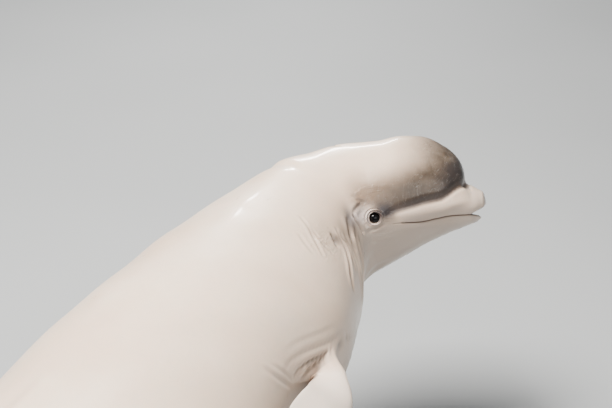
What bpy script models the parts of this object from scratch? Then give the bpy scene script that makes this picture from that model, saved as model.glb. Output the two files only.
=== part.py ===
# Still, life-size model of a beluga whale: the head turned to its right and
# rolled a little, the trunk sloping gently down to the tail, carried over a
# flat base by two short rods.
# Metres, +Z up. The origin is the middle of the underside of the stand base,
# +X runs along the trunk towards the head, the right side faces -Y.
# The body is a loft of sections along one spine line. s is the distance from
# the beak tip along that line, 0 at the tip and BODY_LENGTH at the fluke notch.
import bpy
import bmesh
import math
import numpy as np
from mathutils import Vector, Matrix, Quaternion

DEG = math.pi / 180.0

# ---------------------------------------------------------------- main sizes
BODY_LENGTH = 3.80          # beak tip to the notch between the flukes
GAP = 0.0003                # free gap between neighbouring solids
BEND_GAP = 0.0008           # the same inside the bend of the neck

# attitude (heading, nose-up pitch, right-side-up roll) of head, trunk, tail
HEAD_ATTITUDE = (-69.16 * DEG, 7.85 * DEG, 27.26 * DEG)
TRUNK_ATTITUDE = (0.0, 9.35 * DEG, 13.58 * DEG)
TAIL_ATTITUDE = (-5.0 * DEG, 1.5 * DEG, 5.0 * DEG)
NECK_BEND = (0.332, 0.800)  # stations between which the neck turns
NECK_BEND_POWER = 0.663     # below 1: more of the turn close to the head
TAIL_BEND = (2.10, 3.50)    # stations over which the tail levels out

AXIS_STATION = 1.55         # this station of the spine stands over the origin
AXIS_HEIGHT = 0.640         # height of the spine there

# stations where the solids part
HEAD_END = 0.50
NECK_END = 0.72
TRUNK_END = 2.45
STOCK_END = 3.74

# mouth
MOUTH_CORNER = 0.247
JAW_TIP = 0.018

# eye
EYE_STATION = 0.320
EYE_HEIGHT = -0.011
EYE_RADIUS = 0.0215
EYE_SHOWN_RADIUS = 0.0150   # radius of the opening in the skin

# flippers
FLIPPER_STATION = 1.092
FLIPPER_ANGLE = -4.0 * DEG  # root centre on the section, below the side
FLIPPER_LENGTH = 0.43
FLIPPER_SWEPT = (-0.957, -0.275, 0.095)  # direction of the swept blade
FLIPPER_LEAN = 0.75         # how far the root already leans that way
FLIPPER_TURN = 0.60         # fraction of the length over which it swings back
FLIPPER_TWIST = -1.29       # turn of the blade about its own length
FLIPPER_TWIST_END = 0.463   # fraction at which that turn is complete
FLIPPER_TIP_CURL = 0.017   # how far the tip curls

# flukes
FLUKE_SPAN = 0.90
FLUKE_ROOT_STATION = 3.42   # where the leading edge leaves the tail stock

# stand
BASE_LENGTH = 1.60
BASE_WIDTH = 0.66
BASE_HEIGHT = 0.040
BASE_CORNER = 0.080
BASE_CHAMFER = 0.006
ROD_RADIUS = 0.030
ROD_STATIONS = (1.12, 2.02)

# ------------------------------------------------- profile curves of the body
# station, top, bottom, half width, height of the widest point
BODY = np.array([
    (0.000, 0.012, -0.012, 0.010, 0.000),
    (0.004, 0.030, -0.026, 0.030, 0.000),
    (0.012, 0.040, -0.034, 0.047, 0.000),
    (0.028, 0.050, -0.042, 0.066, -0.002),
    (0.044, 0.064, -0.050, 0.079, -0.004),
    (0.055, 0.097, -0.056, 0.087, 0.000),
    (0.068, 0.135, -0.061, 0.096, 0.010),
    (0.109, 0.181, -0.075, 0.121, 0.030),
    (0.178, 0.2166, -0.101, 0.147, 0.045),
    (0.244, 0.2229, -0.133, 0.170, 0.040),
    (0.309, 0.2145, -0.162, 0.189, 0.025),
    (0.368, 0.2140, -0.186, 0.200, 0.010),
    (0.482, 0.2190, -0.225, 0.219, 0.000),
    (0.560, 0.2170, -0.244, 0.233, -0.010),
    (0.640, 0.2190, -0.265, 0.252, -0.020),
    (0.800, 0.2455, -0.314, 0.301, -0.030),
    (1.000, 0.2840, -0.343, 0.336, -0.030),
    (1.300, 0.3226, -0.364, 0.355, -0.020),
    (1.600, 0.3440, -0.372, 0.370, -0.010),
    (1.900, 0.3380, -0.360, 0.355, 0.000),
    (2.300, 0.2960, -0.300, 0.292, 0.000),
    (2.700, 0.2180, -0.212, 0.198, 0.000),
    (3.100, 0.1450, -0.135, 0.116, 0.000),
    (3.400, 0.1000, -0.088, 0.066, 0.000),
    (3.600, 0.0640, -0.054, 0.040, 0.000),
    (3.740, 0.0300, -0.024, 0.022, 0.000),
    (3.800, 0.0200, -0.014, 0.014, 0.000)])
TOP_POWER = 2.0
BOTTOM_POWER = 2.1

# lower jaw near its tip: station, bottom, half width
JAW = np.array([
    (0.018, -0.0385, 0.006), (0.021, -0.0465, 0.026), (0.028, -0.0530, 0.044),
    (0.040, -0.0585, 0.060), (0.055, -0.0620, 0.075), (0.080, -0.0690, 0.095),
    (0.109, -0.0770, 0.113), (0.178, -0.1020, 0.143), (0.260, -0.1400, 0.173)])

# edge of the upper lip, edge of the lower lip and the crease over the lip
UPPER_LIP = np.array([(0.000, -0.004), (0.006, -0.0105), (0.024, -0.0195),
                      (0.049, -0.0290), (0.100, -0.0275), (0.148, -0.0325),
                      (0.190, -0.0360), (0.247, -0.0290), (0.500, -0.0250)])
LOWER_LIP = np.array([(0.018, -0.0350), (0.030, -0.0335), (0.049, -0.0296),
                      (0.100, -0.0280), (0.148, -0.0330), (0.190, -0.0365),
                      (0.247, -0.0295), (0.500, -0.0255)])
CREASE = np.array([(0.000, 0.006), (0.028, 0.026), (0.046, 0.056),
                   (0.070, 0.058), (0.100, 0.050), (0.200, 0.030),
                   (0.302, 0.012), (0.500, 0.010)])
CREASE_DEPTH = np.array([(0.000, 0.0), (0.040, 0.0), (0.056, 0.012),
                         (0.100, 0.011), (0.200, 0.006), (0.280, 0.003),
                         (0.340, 0.0), (0.500, 0.0)])
# low ridge on the back instead of a fin: station, height
RIDGE = np.array([(0.00, 0.0), (1.55, 0.0), (1.75, 0.010), (2.00, 0.018),
                  (2.25, 0.014), (2.50, 0.004), (2.70, 0.0), (3.80, 0.0)])


def curve(xs, ys):
    """Monotone cubic through the given knots."""
    xs = np.asarray(xs, float)
    ys = np.asarray(ys, float)
    h = np.diff(xs)
    d = np.diff(ys) / h
    m = np.zeros(len(xs))
    for i in range(1, len(xs) - 1):
        if d[i - 1] * d[i] > 0:
            w1 = 2 * h[i] + h[i - 1]
            w2 = h[i] + 2 * h[i - 1]
            m[i] = (w1 + w2) / (w1 / d[i - 1] + w2 / d[i])
    m[0], m[-1] = d[0], d[-1]

    def value(x):
        x = np.clip(x, xs[0], xs[-1])
        i = np.clip(np.searchsorted(xs, x, side='right') - 1, 0, len(h) - 1)
        t = (x - xs[i]) / h[i]
        return ((1 + 2 * t) * (1 - t) ** 2 * ys[i] + t * (1 - t) ** 2 * h[i] * m[i]
                + t * t * (3 - 2 * t) * ys[i + 1] + t * t * (t - 1) * h[i] * m[i + 1])
    return value


top_of = curve(BODY[:, 0], BODY[:, 1])
bottom_of = curve(BODY[:, 0], BODY[:, 2])
half_width_of = curve(BODY[:, 0], BODY[:, 3])
widest_of = curve(BODY[:, 0], BODY[:, 4])
jaw_bottom_of = curve(JAW[:, 0], JAW[:, 1])
jaw_width_of = curve(JAW[:, 0], JAW[:, 2])
upper_lip_of = curve(UPPER_LIP[:, 0], UPPER_LIP[:, 1])
lower_lip_of = curve(LOWER_LIP[:, 0], LOWER_LIP[:, 1])
crease_of = curve(CREASE[:, 0], CREASE[:, 1])
crease_depth_of = curve(CREASE_DEPTH[:, 0], CREASE_DEPTH[:, 1])
ridge_of = curve(RIDGE[:, 0], RIDGE[:, 1])


# ------------------------------------------------------------------ the spine
def attitude(heading, pitch, roll):
    """Rotation with columns forward, left, up."""
    forward = Vector((math.cos(heading) * math.cos(pitch),
                      math.sin(heading) * math.cos(pitch), math.sin(pitch)))
    left = Vector((-math.sin(heading), math.cos(heading), 0.0))
    up = forward.cross(left)
    tilted_left = left * math.cos(roll) - up * math.sin(roll)
    tilted_up = up * math.cos(roll) + left * math.sin(roll)
    return Matrix((forward, tilted_left, tilted_up)).transposed().to_quaternion()


Q_HEAD = attitude(*HEAD_ATTITUDE)
Q_TRUNK = attitude(*TRUNK_ATTITUDE)
Q_TAIL = attitude(*TAIL_ATTITUDE)


def turn(s):
    """Attitude of the section at station s."""
    if s < NECK_BEND[1]:
        t = min(max((s - NECK_BEND[0]) / (NECK_BEND[1] - NECK_BEND[0]), 0.0), 1.0)
        t = t ** NECK_BEND_POWER
        return Q_HEAD.slerp(Q_TRUNK, t * t * (3 - 2 * t)).to_matrix()
    t = min(max((s - TAIL_BEND[0]) / (TAIL_BEND[1] - TAIL_BEND[0]), 0.0), 1.0)
    return Q_TRUNK.slerp(Q_TAIL, t * t * (3 - 2 * t)).to_matrix()


STEP = 0.001
COUNT = int(round(BODY_LENGTH / STEP)) + 1
_forward = np.array([tuple(turn(i * STEP).col[0]) for i in range(COUNT)])
_line = np.zeros((COUNT, 3))
_line[1:] = -np.cumsum((_forward[1:] + _forward[:-1]) * 0.5 * STEP, axis=0)
_at = int(round(AXIS_STATION / STEP))
_line += np.array((0.0, 0.0, AXIS_HEIGHT)) - _line[_at]


def spine(s):
    i = min(max(s / STEP, 0.0), COUNT - 1.000001)
    k = int(i)
    return Vector(_line[k] * (1 - (i - k)) + _line[k + 1] * (i - k))


def place(s, y, z, along=0.0):
    """Body coordinates (station, left, up) to the shared frame."""
    m = turn(s)
    return spine(s) + m.col[0] * along + m.col[1] * y + m.col[2] * z


# ---------------------------------------------------------------- the section
def section(s, angle, grow=0.0):
    """Left and up coordinate of the skin at an angle from the left side."""
    c, sn = math.cos(angle), math.sin(angle)
    zt, zb = float(top_of(s)) + grow, float(bottom_of(s)) - grow
    w, zw = float(half_width_of(s)) + grow, float(widest_of(s))
    n = TOP_POWER if sn >= 0 else BOTTOM_POWER
    y = w * math.copysign(abs(c) ** (2 / n), c)
    z = zw + ((zt - zw) if sn >= 0 else (zw - zb)) * math.copysign(abs(sn) ** (2 / n), sn)
    ridge = float(ridge_of(s)) * math.exp(-(y / 0.035) ** 2) if sn > 0 else 0.0
    return y, z + ridge


def angle_at(s, z):
    """Angle on the left side at which the section has height z."""
    zt, zb, zw = float(top_of(s)), float(bottom_of(s)), float(widest_of(s))
    if z >= zw:
        return math.asin(min(1.0, (z - zw) / (zt - zw)) ** (TOP_POWER / 2))
    return -math.asin(min(1.0, (zw - z) / (zw - zb)) ** (BOTTOM_POWER / 2))


# ------------------------------------------------------------- mesh utilities
for leftover in list(bpy.data.objects):
    bpy.data.objects.remove(leftover, do_unlink=True)


def finish_mesh(name, bm, smooth=True, edge_angle=50 * DEG):
    bmesh.ops.recalc_face_normals(bm, faces=bm.faces)
    for f in bm.faces:
        f.smooth = smooth and len(f.verts) < 8
    for e in bm.edges:
        if len(e.link_faces) == 2:
            e.smooth = e.calc_face_angle(0.0) < edge_angle
    mesh = bpy.data.meshes.new(name)
    bm.to_mesh(mesh)
    bm.free()
    obj = bpy.data.objects.new(name, mesh)
    bpy.context.scene.collection.objects.link(obj)
    return obj


def loft(name, rings, start_cap=True, end_cap=True, start_tip=None, end_tip=None):
    """Closed body through rings of equal count."""
    bm = bmesh.new()
    rows = [[bm.verts.new(p) for p in ring] for ring in rings]
    n = len(rows[0])
    for a, b in zip(rows, rows[1:]):
        for j in range(n):
            k = (j + 1) % n
            bm.faces.new((a[j], a[k], b[k], b[j]))
    if start_tip is not None:
        v = bm.verts.new(start_tip)
        for j in range(n):
            bm.faces.new((rows[0][(j + 1) % n], rows[0][j], v))
    elif start_cap:
        bm.faces.new(list(reversed(rows[0])))
    if end_tip is not None:
        v = bm.verts.new(end_tip)
        for j in range(n):
            bm.faces.new((rows[-1][j], rows[-1][(j + 1) % n], v))
    elif end_cap:
        bm.faces.new(rows[-1])
    return finish_mesh(name, bm)


def carve(target, cutters, remove=True):
    """Subtract the cutters from the target, exactly."""
    for cutter in cutters:
        mod = target.modifiers.new('cut', 'BOOLEAN')
        mod.operation = 'DIFFERENCE'
        mod.solver = 'EXACT'
        mod.object = cutter
    bpy.context.view_layer.update()
    deps = bpy.context.evaluated_depsgraph_get()
    mesh = bpy.data.meshes.new_from_object(target.evaluated_get(deps))
    target.modifiers.clear()
    target.data = mesh
    mesh.name = target.name
    if remove:
        for cutter in cutters:
            bpy.data.objects.remove(cutter, do_unlink=True)
    bm = bmesh.new()
    bm.from_mesh(target.data)
    bmesh.ops.remove_doubles(bm, verts=bm.verts, dist=2e-5)
    bmesh.ops.dissolve_degenerate(bm, dist=1e-5, edges=bm.edges)
    bmesh.ops.recalc_face_normals(bm, faces=bm.faces)
    for e in bm.edges:
        if len(e.link_faces) == 2:
            e.smooth = e.calc_face_angle(0.0) < 50 * DEG
    bm.to_mesh(target.data)
    bm.free()
    return target


def material(name, colour, roughness, metallic=0.0):
    mat = bpy.data.materials.new(name)
    mat.use_nodes = True
    node = mat.node_tree.nodes.get('Principled BSDF')
    node.inputs['Base Color'].default_value = (*colour, 1.0)
    node.inputs['Roughness'].default_value = roughness
    node.inputs['Metallic'].default_value = metallic
    mat.diffuse_color = (*colour, 1.0)
    return mat


def dress(obj, colour, roughness, metallic=0.0):
    obj.data.materials.clear()
    obj.data.materials.append(material('mat_' + obj.name, colour, roughness, metallic))
    return obj


# ------------------------------------------------------- head and lower jaw
UPPER_STEPS = 8             # steps from above the crease to the crown
LOWER_STEPS = 7             # steps from the lip to the middle of the chin


def upper_arc(s, lip_height):
    """Left half of the arc from the lip to the crown, with the crease."""
    zc = min(float(crease_of(s)), float(top_of(s)) * 0.8)
    h = zc - lip_height
    marks = [lip_height, lip_height + 0.30 * h, lip_height + 0.65 * h,
             zc - 0.14 * h, zc, zc + 0.18 * h]
    angles = [angle_at(s, z) for z in marks]
    start = angles[-1]
    angles += [start + (math.pi / 2 - start) * k / UPPER_STEPS
               for k in range(1, UPPER_STEPS + 1)]
    depth = float(crease_depth_of(s))
    dips = [0.0, 0.0, -0.15, 0.35, 1.0, 0.40] + [0.10] + [0.0] * (UPPER_STEPS - 1)
    points = []
    for a, dip in zip(angles, dips):
        y, z = section(s, a)
        points.append((y - dip * depth * math.cos(a), z - dip * depth * 0.35 * math.sin(a)))
    return points


def lower_arc(s, lip_height, jaw=False):
    """Left half of the arc from the middle of the chin to the lip."""
    points = []
    zw = float(widest_of(s))
    if jaw:
        w = min(float(jaw_width_of(s)), float(half_width_of(s)) - 0.002)
        zb = float(jaw_bottom_of(s))
        top = lip_height
        for k in range(LOWER_STEPS + 1):
            a = -math.pi / 2 * (1 - k / LOWER_STEPS)
            full = max(zw, top)
            n = 2.15
            reach = (zw - zb)
            # follow the ellipse that would rise to the widest height
            limit = -math.asin(min(1.0, max(0.0, (full - top) / reach)) ** (n / 2))
            a = -math.pi / 2 + (limit + math.pi / 2) * k / LOWER_STEPS
            y = w * abs(math.cos(a)) ** (2 / n)
            z = full - (full - zb) * abs(math.sin(a)) ** (2 / n)
            points.append((y, z))
        points[-1] = (points[-1][0], top)
        return points
    end = angle_at(s, lip_height)
    for k in range(LOWER_STEPS + 1):
        a = -math.pi / 2 + (end + math.pi / 2) * k / LOWER_STEPS
        points.append(section(s, a))
    return points


HEAD_STATIONS = [0.003, 0.008, 0.016, 0.027, 0.038, 0.047, 0.055, 0.063, 0.074,
                 0.090, 0.109, 0.135, 0.165, 0.200, MOUTH_CORNER]
HEAD_BACK = [0.275, 0.305, 0.335, 0.365, 0.400, 0.440, 0.475, HEAD_END - BEND_GAP / 2]

bm = bmesh.new()


def add_ring(s, pts):
    m = turn(s)
    o = spine(s)
    return [bm.verts.new(o + m.col[1] * y + m.col[2] * z) for y, z in pts]


front = []
for s in HEAD_STATIONS:
    arc = upper_arc(s, float(upper_lip_of(s)))
    front.append(add_ring(s, arc + [(-y, z) for y, z in reversed(arc[:-1])]))
back = []
for s in [MOUTH_CORNER] + HEAD_BACK:
    lip = float(upper_lip_of(s))
    up = upper_arc(s, lip)
    low = lower_arc(s, lip)
    ring = up + [(-y, z) for y, z in reversed(up[:-1])]
    ring += [(-y, z) for y, z in reversed(low[1:-1])] + [low[0]] + low[1:-1]
    if s == MOUTH_CORNER:
        rest = add_ring(s, ring[len(front[-1]):])
        back.append(front[-1] + rest)
    else:
        back.append(add_ring(s, ring))
for a, b in zip(front, front[1:]):
    for j in range(len(a) - 1):
        bm.faces.new((a[j], a[j + 1], b[j + 1], b[j]))
    bm.faces.new((a[-1], a[0], b[0], b[-1]))
tip = bm.verts.new(place(0.0, 0.0, 0.004))
for j in range(len(front[0])):
    bm.faces.new((front[0][(j + 1) % len(front[0])], front[0][j], tip))
for a, b in zip(back, back[1:]):
    for j in range(len(a)):
        k = (j + 1) % len(a)
        bm.faces.new((a[j], a[k], b[k], b[j]))
bm.faces.new([back[0][0]] + [back[0][-1 - i] for i in range(len(back[0]) - len(front[-1]))]
             + [front[-1][-1]])
bm.faces.new(back[-1])
head = finish_mesh('head', bm)

JAW_STATIONS = [0.0185, 0.021] + HEAD_STATIONS[3:-1] + [MOUTH_CORNER - 0.0006]
jaw_rings = []
for s in JAW_STATIONS:
    closed = float(upper_lip_of(s)) - 0.0005
    low = lower_arc(s, min(float(lower_lip_of(s)), closed), jaw=True)
    pts = [(-y, z) for y, z in reversed(low[1:])] + [low[0]] + low[1:]
    jaw_rings.append([place(s, y, z) for y, z in pts])
lower_jaw = loft('lower_jaw', jaw_rings)

# ------------------------------------------------------------------- eyes
EYE_DEPTH = math.sqrt(EYE_RADIUS ** 2 - EYE_SHOWN_RADIUS ** 2)


def eye_centre(side):
    """side +1 left, -1 right; the ball lies below the skin by EYE_DEPTH."""
    a = angle_at(EYE_STATION, EYE_HEIGHT)
    y, z = section(EYE_STATION, a)
    y2, _ = section(EYE_STATION + 0.01, a)
    y1, _ = section(EYE_STATION - 0.01, a)
    slope = (y2 - y1) / 0.02        # the face widens backwards
    n = Vector((slope, 1.0, 0.0)).normalized()
    m = turn(EYE_STATION)
    p = spine(EYE_STATION) + m.col[1] * (side * y) + m.col[2] * z
    out = m.col[0] * n.x + m.col[1] * (side * n.y) + m.col[2] * 0.04
    return p - out.normalized() * EYE_DEPTH, out.normalized()


def ball(name, centre, axis, radius, rows=14, columns=24):
    turn_to = axis.to_track_quat('Z', 'Y').to_matrix()
    rings = []
    for i in range(1, rows):
        a = math.pi * i / rows
        rings.append([centre + turn_to @ Vector((radius * math.sin(a) * math.cos(2 * math.pi * j / columns),
                                                 radius * math.sin(a) * math.sin(2 * math.pi * j / columns),
                                                 radius * math.cos(a))) for j in range(columns)])
    return loft(name, rings, start_tip=centre + turn_to @ Vector((0, 0, radius)),
                end_tip=centre + turn_to @ Vector((0, 0, -radius)))


sockets = []
for side, label in ((1, 'left'), (-1, 'right')):
    c, out = eye_centre(side)
    ball('eye_' + label, c, out, EYE_RADIUS)
    sockets.append(ball('socket_' + label, c, out, (EYE_RADIUS + GAP) * 1.006))

# blowhole: a crescent groove on the crown, open to the front
BLOWHOLE_STATION = 0.405
BLOWHOLE_WIDTH = 0.060
BLOWHOLE_DEPTH = 0.008
slot_rings = []
for k in range(9):
    t = -1 + 2 * k / 8
    s = BLOWHOLE_STATION + 0.016 * (1 - t * t)
    y = t * BLOWHOLE_WIDTH / 2
    zt = float(top_of(s))
    half = 0.0035 * (1 - 0.55 * abs(t))
    slot_rings.append([place(s, y, zt + 0.010, half), place(s, y, zt + 0.010, -half),
                       place(s, y, zt - BLOWHOLE_DEPTH, -half * 0.4),
                       place(s, y, zt - BLOWHOLE_DEPTH, half * 0.4)])
slot = loft('slot', slot_rings)
carve(head, sockets + [slot])

# ------------------------------------------------------- neck, trunk, stock
AROUND = 40


def plain_rings(stations, grow=0.0):
    out = []
    for s in stations:
        ring = []
        for j in range(AROUND):
            y, z = section(s, 2 * math.pi * j / AROUND, grow)
            ring.append(place(s, y, z))
        out.append(ring)
    return out


neck_stations = [HEAD_END + BEND_GAP / 2, 0.535, 0.57, 0.61, 0.65, 0.685, NECK_END - BEND_GAP]
neck = loft('neck', plain_rings(neck_stations))
trunk_stations = [NECK_END, 0.76, 0.80, 0.88, 0.97, 1.08, 1.21, 1.36, 1.53, 1.71, 1.90,
                  2.09, 2.28, TRUNK_END]
trunk = loft('trunk', plain_rings(trunk_stations))
stock_stations = [TRUNK_END + GAP, 2.58, 2.72, 2.86, 3.00, 3.14, 3.28, 3.40, 3.51,
                  3.60, 3.68, STOCK_END]
tail_stock = loft('tail_stock', plain_rings(stock_stations))

# ---------------------------------------------------------------- flippers
# fraction of the length, leading edge, trailing edge, thickness
FLIPPER = np.array([
    (-0.30, 0.037, -0.035, 0.060), (0.00, 0.037, -0.035, 0.057),
    (0.16, 0.044, -0.045, 0.048), (0.34, 0.069, -0.060, 0.039),
    (0.52, 0.076, -0.079, 0.032), (0.68, 0.086, -0.088, 0.026),
    (0.81, 0.081, -0.085, 0.021), (0.91, 0.064, -0.069, 0.017),
    (0.967, 0.038, -0.042, 0.012), (0.995, 0.011, -0.014, 0.007)])
flip_lead = curve(FLIPPER[:, 0], FLIPPER[:, 1])
flip_trail = curve(FLIPPER[:, 0], FLIPPER[:, 2])
flip_thick = curve(FLIPPER[:, 0], FLIPPER[:, 3])


def blade_section(lead, trail, thick, count=18):
    """Points round a blade: x from trailing to leading edge, y the normal."""
    mid, half = (lead + trail) / 2, (lead - trail) / 2
    pts = []
    for j in range(count):
        a = 2 * math.pi * j / count
        x = math.cos(a)
        # thickest a third behind the leading edge, thin at the back
        t = math.sin(a) * (0.5 * thick) * (0.80 + 0.28 * x)
        pts.append((mid + half * x, t))
    return pts


def flipper_heading(out, swept, t):
    w = min(max(t / FLIPPER_TURN, 0.0), 1.0)
    w = FLIPPER_LEAN + (1 - FLIPPER_LEAN) * w * w * (3 - 2 * w)
    return (out * (1 - w) + swept * w).normalized()


def flipper_path():
    """Middle line of the right flipper in the trunk's own directions
    (forward, left, up): it leaves the body leaning back, then swings on
    back. Yields fraction, point, outward tangent, chord and normal."""
    y, z = section(FLIPPER_STATION, math.pi - FLIPPER_ANGLE)
    y2, z2 = section(FLIPPER_STATION, math.pi - FLIPPER_ANGLE + 0.001)
    out = Vector((0.0, z2 - z, y - y2)).normalized()
    if out.y > 0:
        out = -out
    swept = Vector(FLIPPER_SWEPT).normalized()
    ahead = Vector((1.0, 0.0, 0.0))
    fractions = [-0.30, -0.15, 0.0, 0.06, 0.12, 0.18, 0.24, 0.31, 0.40, 0.50,
                 0.60, 0.70, 0.79, 0.87, 0.93, 0.97, 0.99, 1.0]
    point = Vector((0.0, y, z)) + flipper_heading(out, swept, 0.0) * (FLIPPER_LENGTH * fractions[0])
    last = fractions[0]
    for t in fractions:
        # walk along the line in small steps
        steps = 12
        for k in range(steps):
            u = last + (t - last) * (k + 0.5) / steps
            tangent = flipper_heading(out, swept, u)
            point = point + tangent * (FLIPPER_LENGTH * (t - last) / steps)
        last = t
        tangent = flipper_heading(out, swept, t)
        chord = (ahead - tangent * ahead.dot(tangent)).normalized()
        yield t, point.copy(), tangent, chord, tangent.cross(chord)


def flipper(name, side):
    m = turn(FLIPPER_STATION)
    foot = spine(FLIPPER_STATION)

    def world(v):
        return m.col[0] * v.x + m.col[1] * (v.y * -side) + m.col[2] * v.z
    rings, end = [], None
    for t, point, tangent, chord, normal in flipper_path():
        centre = point + normal * (FLIPPER_TIP_CURL * max(0.0, t) ** 2.2)
        if t == 1.0:
            end = foot + world(centre - chord * 0.002)
            break
        w = min(max(t / FLIPPER_TWIST_END, 0.0), 1.0)
        w = FLIPPER_TWIST * w * w * (3 - 2 * w)
        chord, normal = (chord * math.cos(w) + normal * math.sin(w),
                         normal * math.cos(w) - chord * math.sin(w))
        ring = []
        for x, h in blade_section(float(flip_lead(t)), float(flip_trail(t)), float(flip_thick(t))):
            ring.append(foot + world(centre + chord * x + normal * h))
        rings.append(ring)
    return loft(name, rings, end_tip=end)


cut_trunk = plain_rings([0.65, 0.685] + trunk_stations, GAP)
for side, label in ((1, 'left'), (-1, 'right')):
    cutter = loft('cut_trunk_' + label, cut_trunk)
    cutter.hide_render = True
    cutter.display_type = 'WIRE'
    carve(flipper('flipper_' + label, side), [cutter])

# ----------------------------------------------------------------- flukes
# span fraction, leading edge station, trailing edge station, thickness
FLUKE = np.array([
    (0.00, 3.400, 3.800, 0.060), (0.06, 3.425, 3.832, 0.050),
    (0.16, 3.470, 3.885, 0.040), (0.30, 3.520, 3.925, 0.033),
    (0.48, 3.578, 3.940, 0.027), (0.66, 3.642, 3.932, 0.021),
    (0.82, 3.712, 3.912, 0.016), (0.92, 3.775, 3.895, 0.012),
    (0.98, 3.832, 3.890, 0.008)])
fluke_lead = curve(FLUKE[:, 0], FLUKE[:, 1])
fluke_trail = curve(FLUKE[:, 0], FLUKE[:, 2])
fluke_thick = curve(FLUKE[:, 0], FLUKE[:, 3])


def tail_point(s, y, z):
    """Straight extension of the tail frame beyond the notch."""
    m = turn(BODY_LENGTH)
    o = spine(FLUKE_ROOT_STATION)
    return o - m.col[0] * (s - FLUKE_ROOT_STATION) + m.col[1] * y + m.col[2] * z


def fluke(name, side):
    rings = []
    half_span = FLUKE_SPAN / 2
    for t in (0.0, 0.03, 0.07, 0.12, 0.19, 0.28, 0.38, 0.49, 0.60, 0.71, 0.81,
              0.89, 0.95, 0.985):
        y = max(GAP / 2, t * half_span)
        lead, trail = float(fluke_lead(t)), float(fluke_trail(t))
        mid, half = (lead + trail) / 2, (trail - lead) / 2
        thick = float(fluke_thick(t))
        lift = -0.020 * t * t + 0.004
        ring = []
        for j in range(18):
            a = 2 * math.pi * j / 18
            x = -math.cos(a)                      # -1 leading, +1 trailing
            h = math.sin(a) * 0.5 * thick * (0.80 - 0.30 * x)
            ring.append(tail_point(mid + half * x, side * y, lift + h))
        rings.append(ring)
    end = tail_point(3.868, side * half_span, -0.016)
    return loft(name, rings, end_tip=end)


stock_cut = plain_rings(stock_stations[5:-1] + [STOCK_END + GAP], GAP)
for side, label in ((1, 'left'), (-1, 'right')):
    cutter = loft('cut_stock_' + label, stock_cut)
    cutter.hide_render = True
    cutter.display_type = 'WIRE'
    carve(fluke('fluke_' + label, side), [cutter])

# ------------------------------------------------------------------ stand
bm = bmesh.new()
outline = []
for cx, cy, a0 in ((1, 1, 0), (-1, 1, 90), (-1, -1, 180), (1, -1, 270)):
    for k in range(9):
        a = (a0 + 90 * k / 8) * DEG
        outline.append((cx * (BASE_LENGTH / 2 - BASE_CORNER) + BASE_CORNER * math.cos(a),
                        cy * (BASE_WIDTH / 2 - BASE_CORNER) + BASE_CORNER * math.sin(a)))


def inset(points, d):
    k = 1 - d / (BASE_LENGTH / 2)
    q = 1 - d / (BASE_WIDTH / 2)
    return [(x * k, y * q) for x, y in points]


levels = [(0.0, 0.002), (0.002, 0.0), (BASE_HEIGHT - BASE_CHAMFER, 0.0),
          (BASE_HEIGHT - 0.3 * BASE_CHAMFER, 0.3 * BASE_CHAMFER), (BASE_HEIGHT, BASE_CHAMFER)]
rows = [[bm.verts.new((x, y, z)) for x, y in inset(outline, d)] for z, d in levels]
for a, b in zip(rows, rows[1:]):
    for j in range(len(a)):
        k = (j + 1) % len(a)
        bm.faces.new((a[j], a[k], b[k], b[j]))
bm.faces.new(list(reversed(rows[0])))
bm.faces.new(rows[-1])
stand_base = finish_mesh('stand_base', bm, edge_angle=25 * DEG)

for label, s in (('front', ROD_STATIONS[0]), ('rear', ROD_STATIONS[1])):
    foot = spine(s)
    around = 32
    low, high = BASE_HEIGHT + GAP, foot.z - 0.10
    rings = []
    for z, r in ((low, ROD_RADIUS - 0.001), (low + 0.001, ROD_RADIUS), (high, ROD_RADIUS)):
        rings.append([Vector((foot.x + r * math.cos(2 * math.pi * j / around),
                              foot.y + r * math.sin(2 * math.pi * j / around), z))
                      for j in range(around)])
    rod = loft('stand_rod_' + label, rings)
    cutter = loft('cut_rod_' + label, plain_rings(trunk_stations, GAP))
    cutter.hide_render = True
    cutter.display_type = 'WIRE'
    carve(rod, [cutter])

# -------------------------------------------------------------- materials
SKIN = (0.80, 0.76, 0.71)
for obj in list(bpy.data.objects):
    if obj.name.startswith('eye_'):
        dress(obj, (0.012, 0.010, 0.012), 0.12)
    elif obj.name == 'stand_base':
        dress(obj, (0.055, 0.056, 0.060), 0.45)
    elif obj.name.startswith('stand_rod'):
        dress(obj, (0.52, 0.52, 0.53), 0.30, 1.0)
    else:
        dress(obj, SKIN, 0.35)
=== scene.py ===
import bpy
import bmesh
import math
import numpy as np
from mathutils import Vector, Matrix, Quaternion
from mathutils.kdtree import KDTree


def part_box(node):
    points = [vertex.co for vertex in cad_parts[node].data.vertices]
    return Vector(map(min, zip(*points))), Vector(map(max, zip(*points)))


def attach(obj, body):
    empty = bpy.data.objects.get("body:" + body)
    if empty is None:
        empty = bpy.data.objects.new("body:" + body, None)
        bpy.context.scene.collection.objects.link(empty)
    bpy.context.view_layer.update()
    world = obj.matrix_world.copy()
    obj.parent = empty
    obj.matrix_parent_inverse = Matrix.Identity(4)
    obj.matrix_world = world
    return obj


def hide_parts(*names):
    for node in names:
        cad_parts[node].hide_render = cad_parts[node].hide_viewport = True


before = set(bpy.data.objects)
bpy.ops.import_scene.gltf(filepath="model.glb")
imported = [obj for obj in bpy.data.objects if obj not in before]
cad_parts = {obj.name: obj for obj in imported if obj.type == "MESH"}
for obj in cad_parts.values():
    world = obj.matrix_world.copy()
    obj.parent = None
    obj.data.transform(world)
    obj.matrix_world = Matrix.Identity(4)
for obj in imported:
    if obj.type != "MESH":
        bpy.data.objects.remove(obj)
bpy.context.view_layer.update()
DEG = math.pi / 180.0

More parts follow.
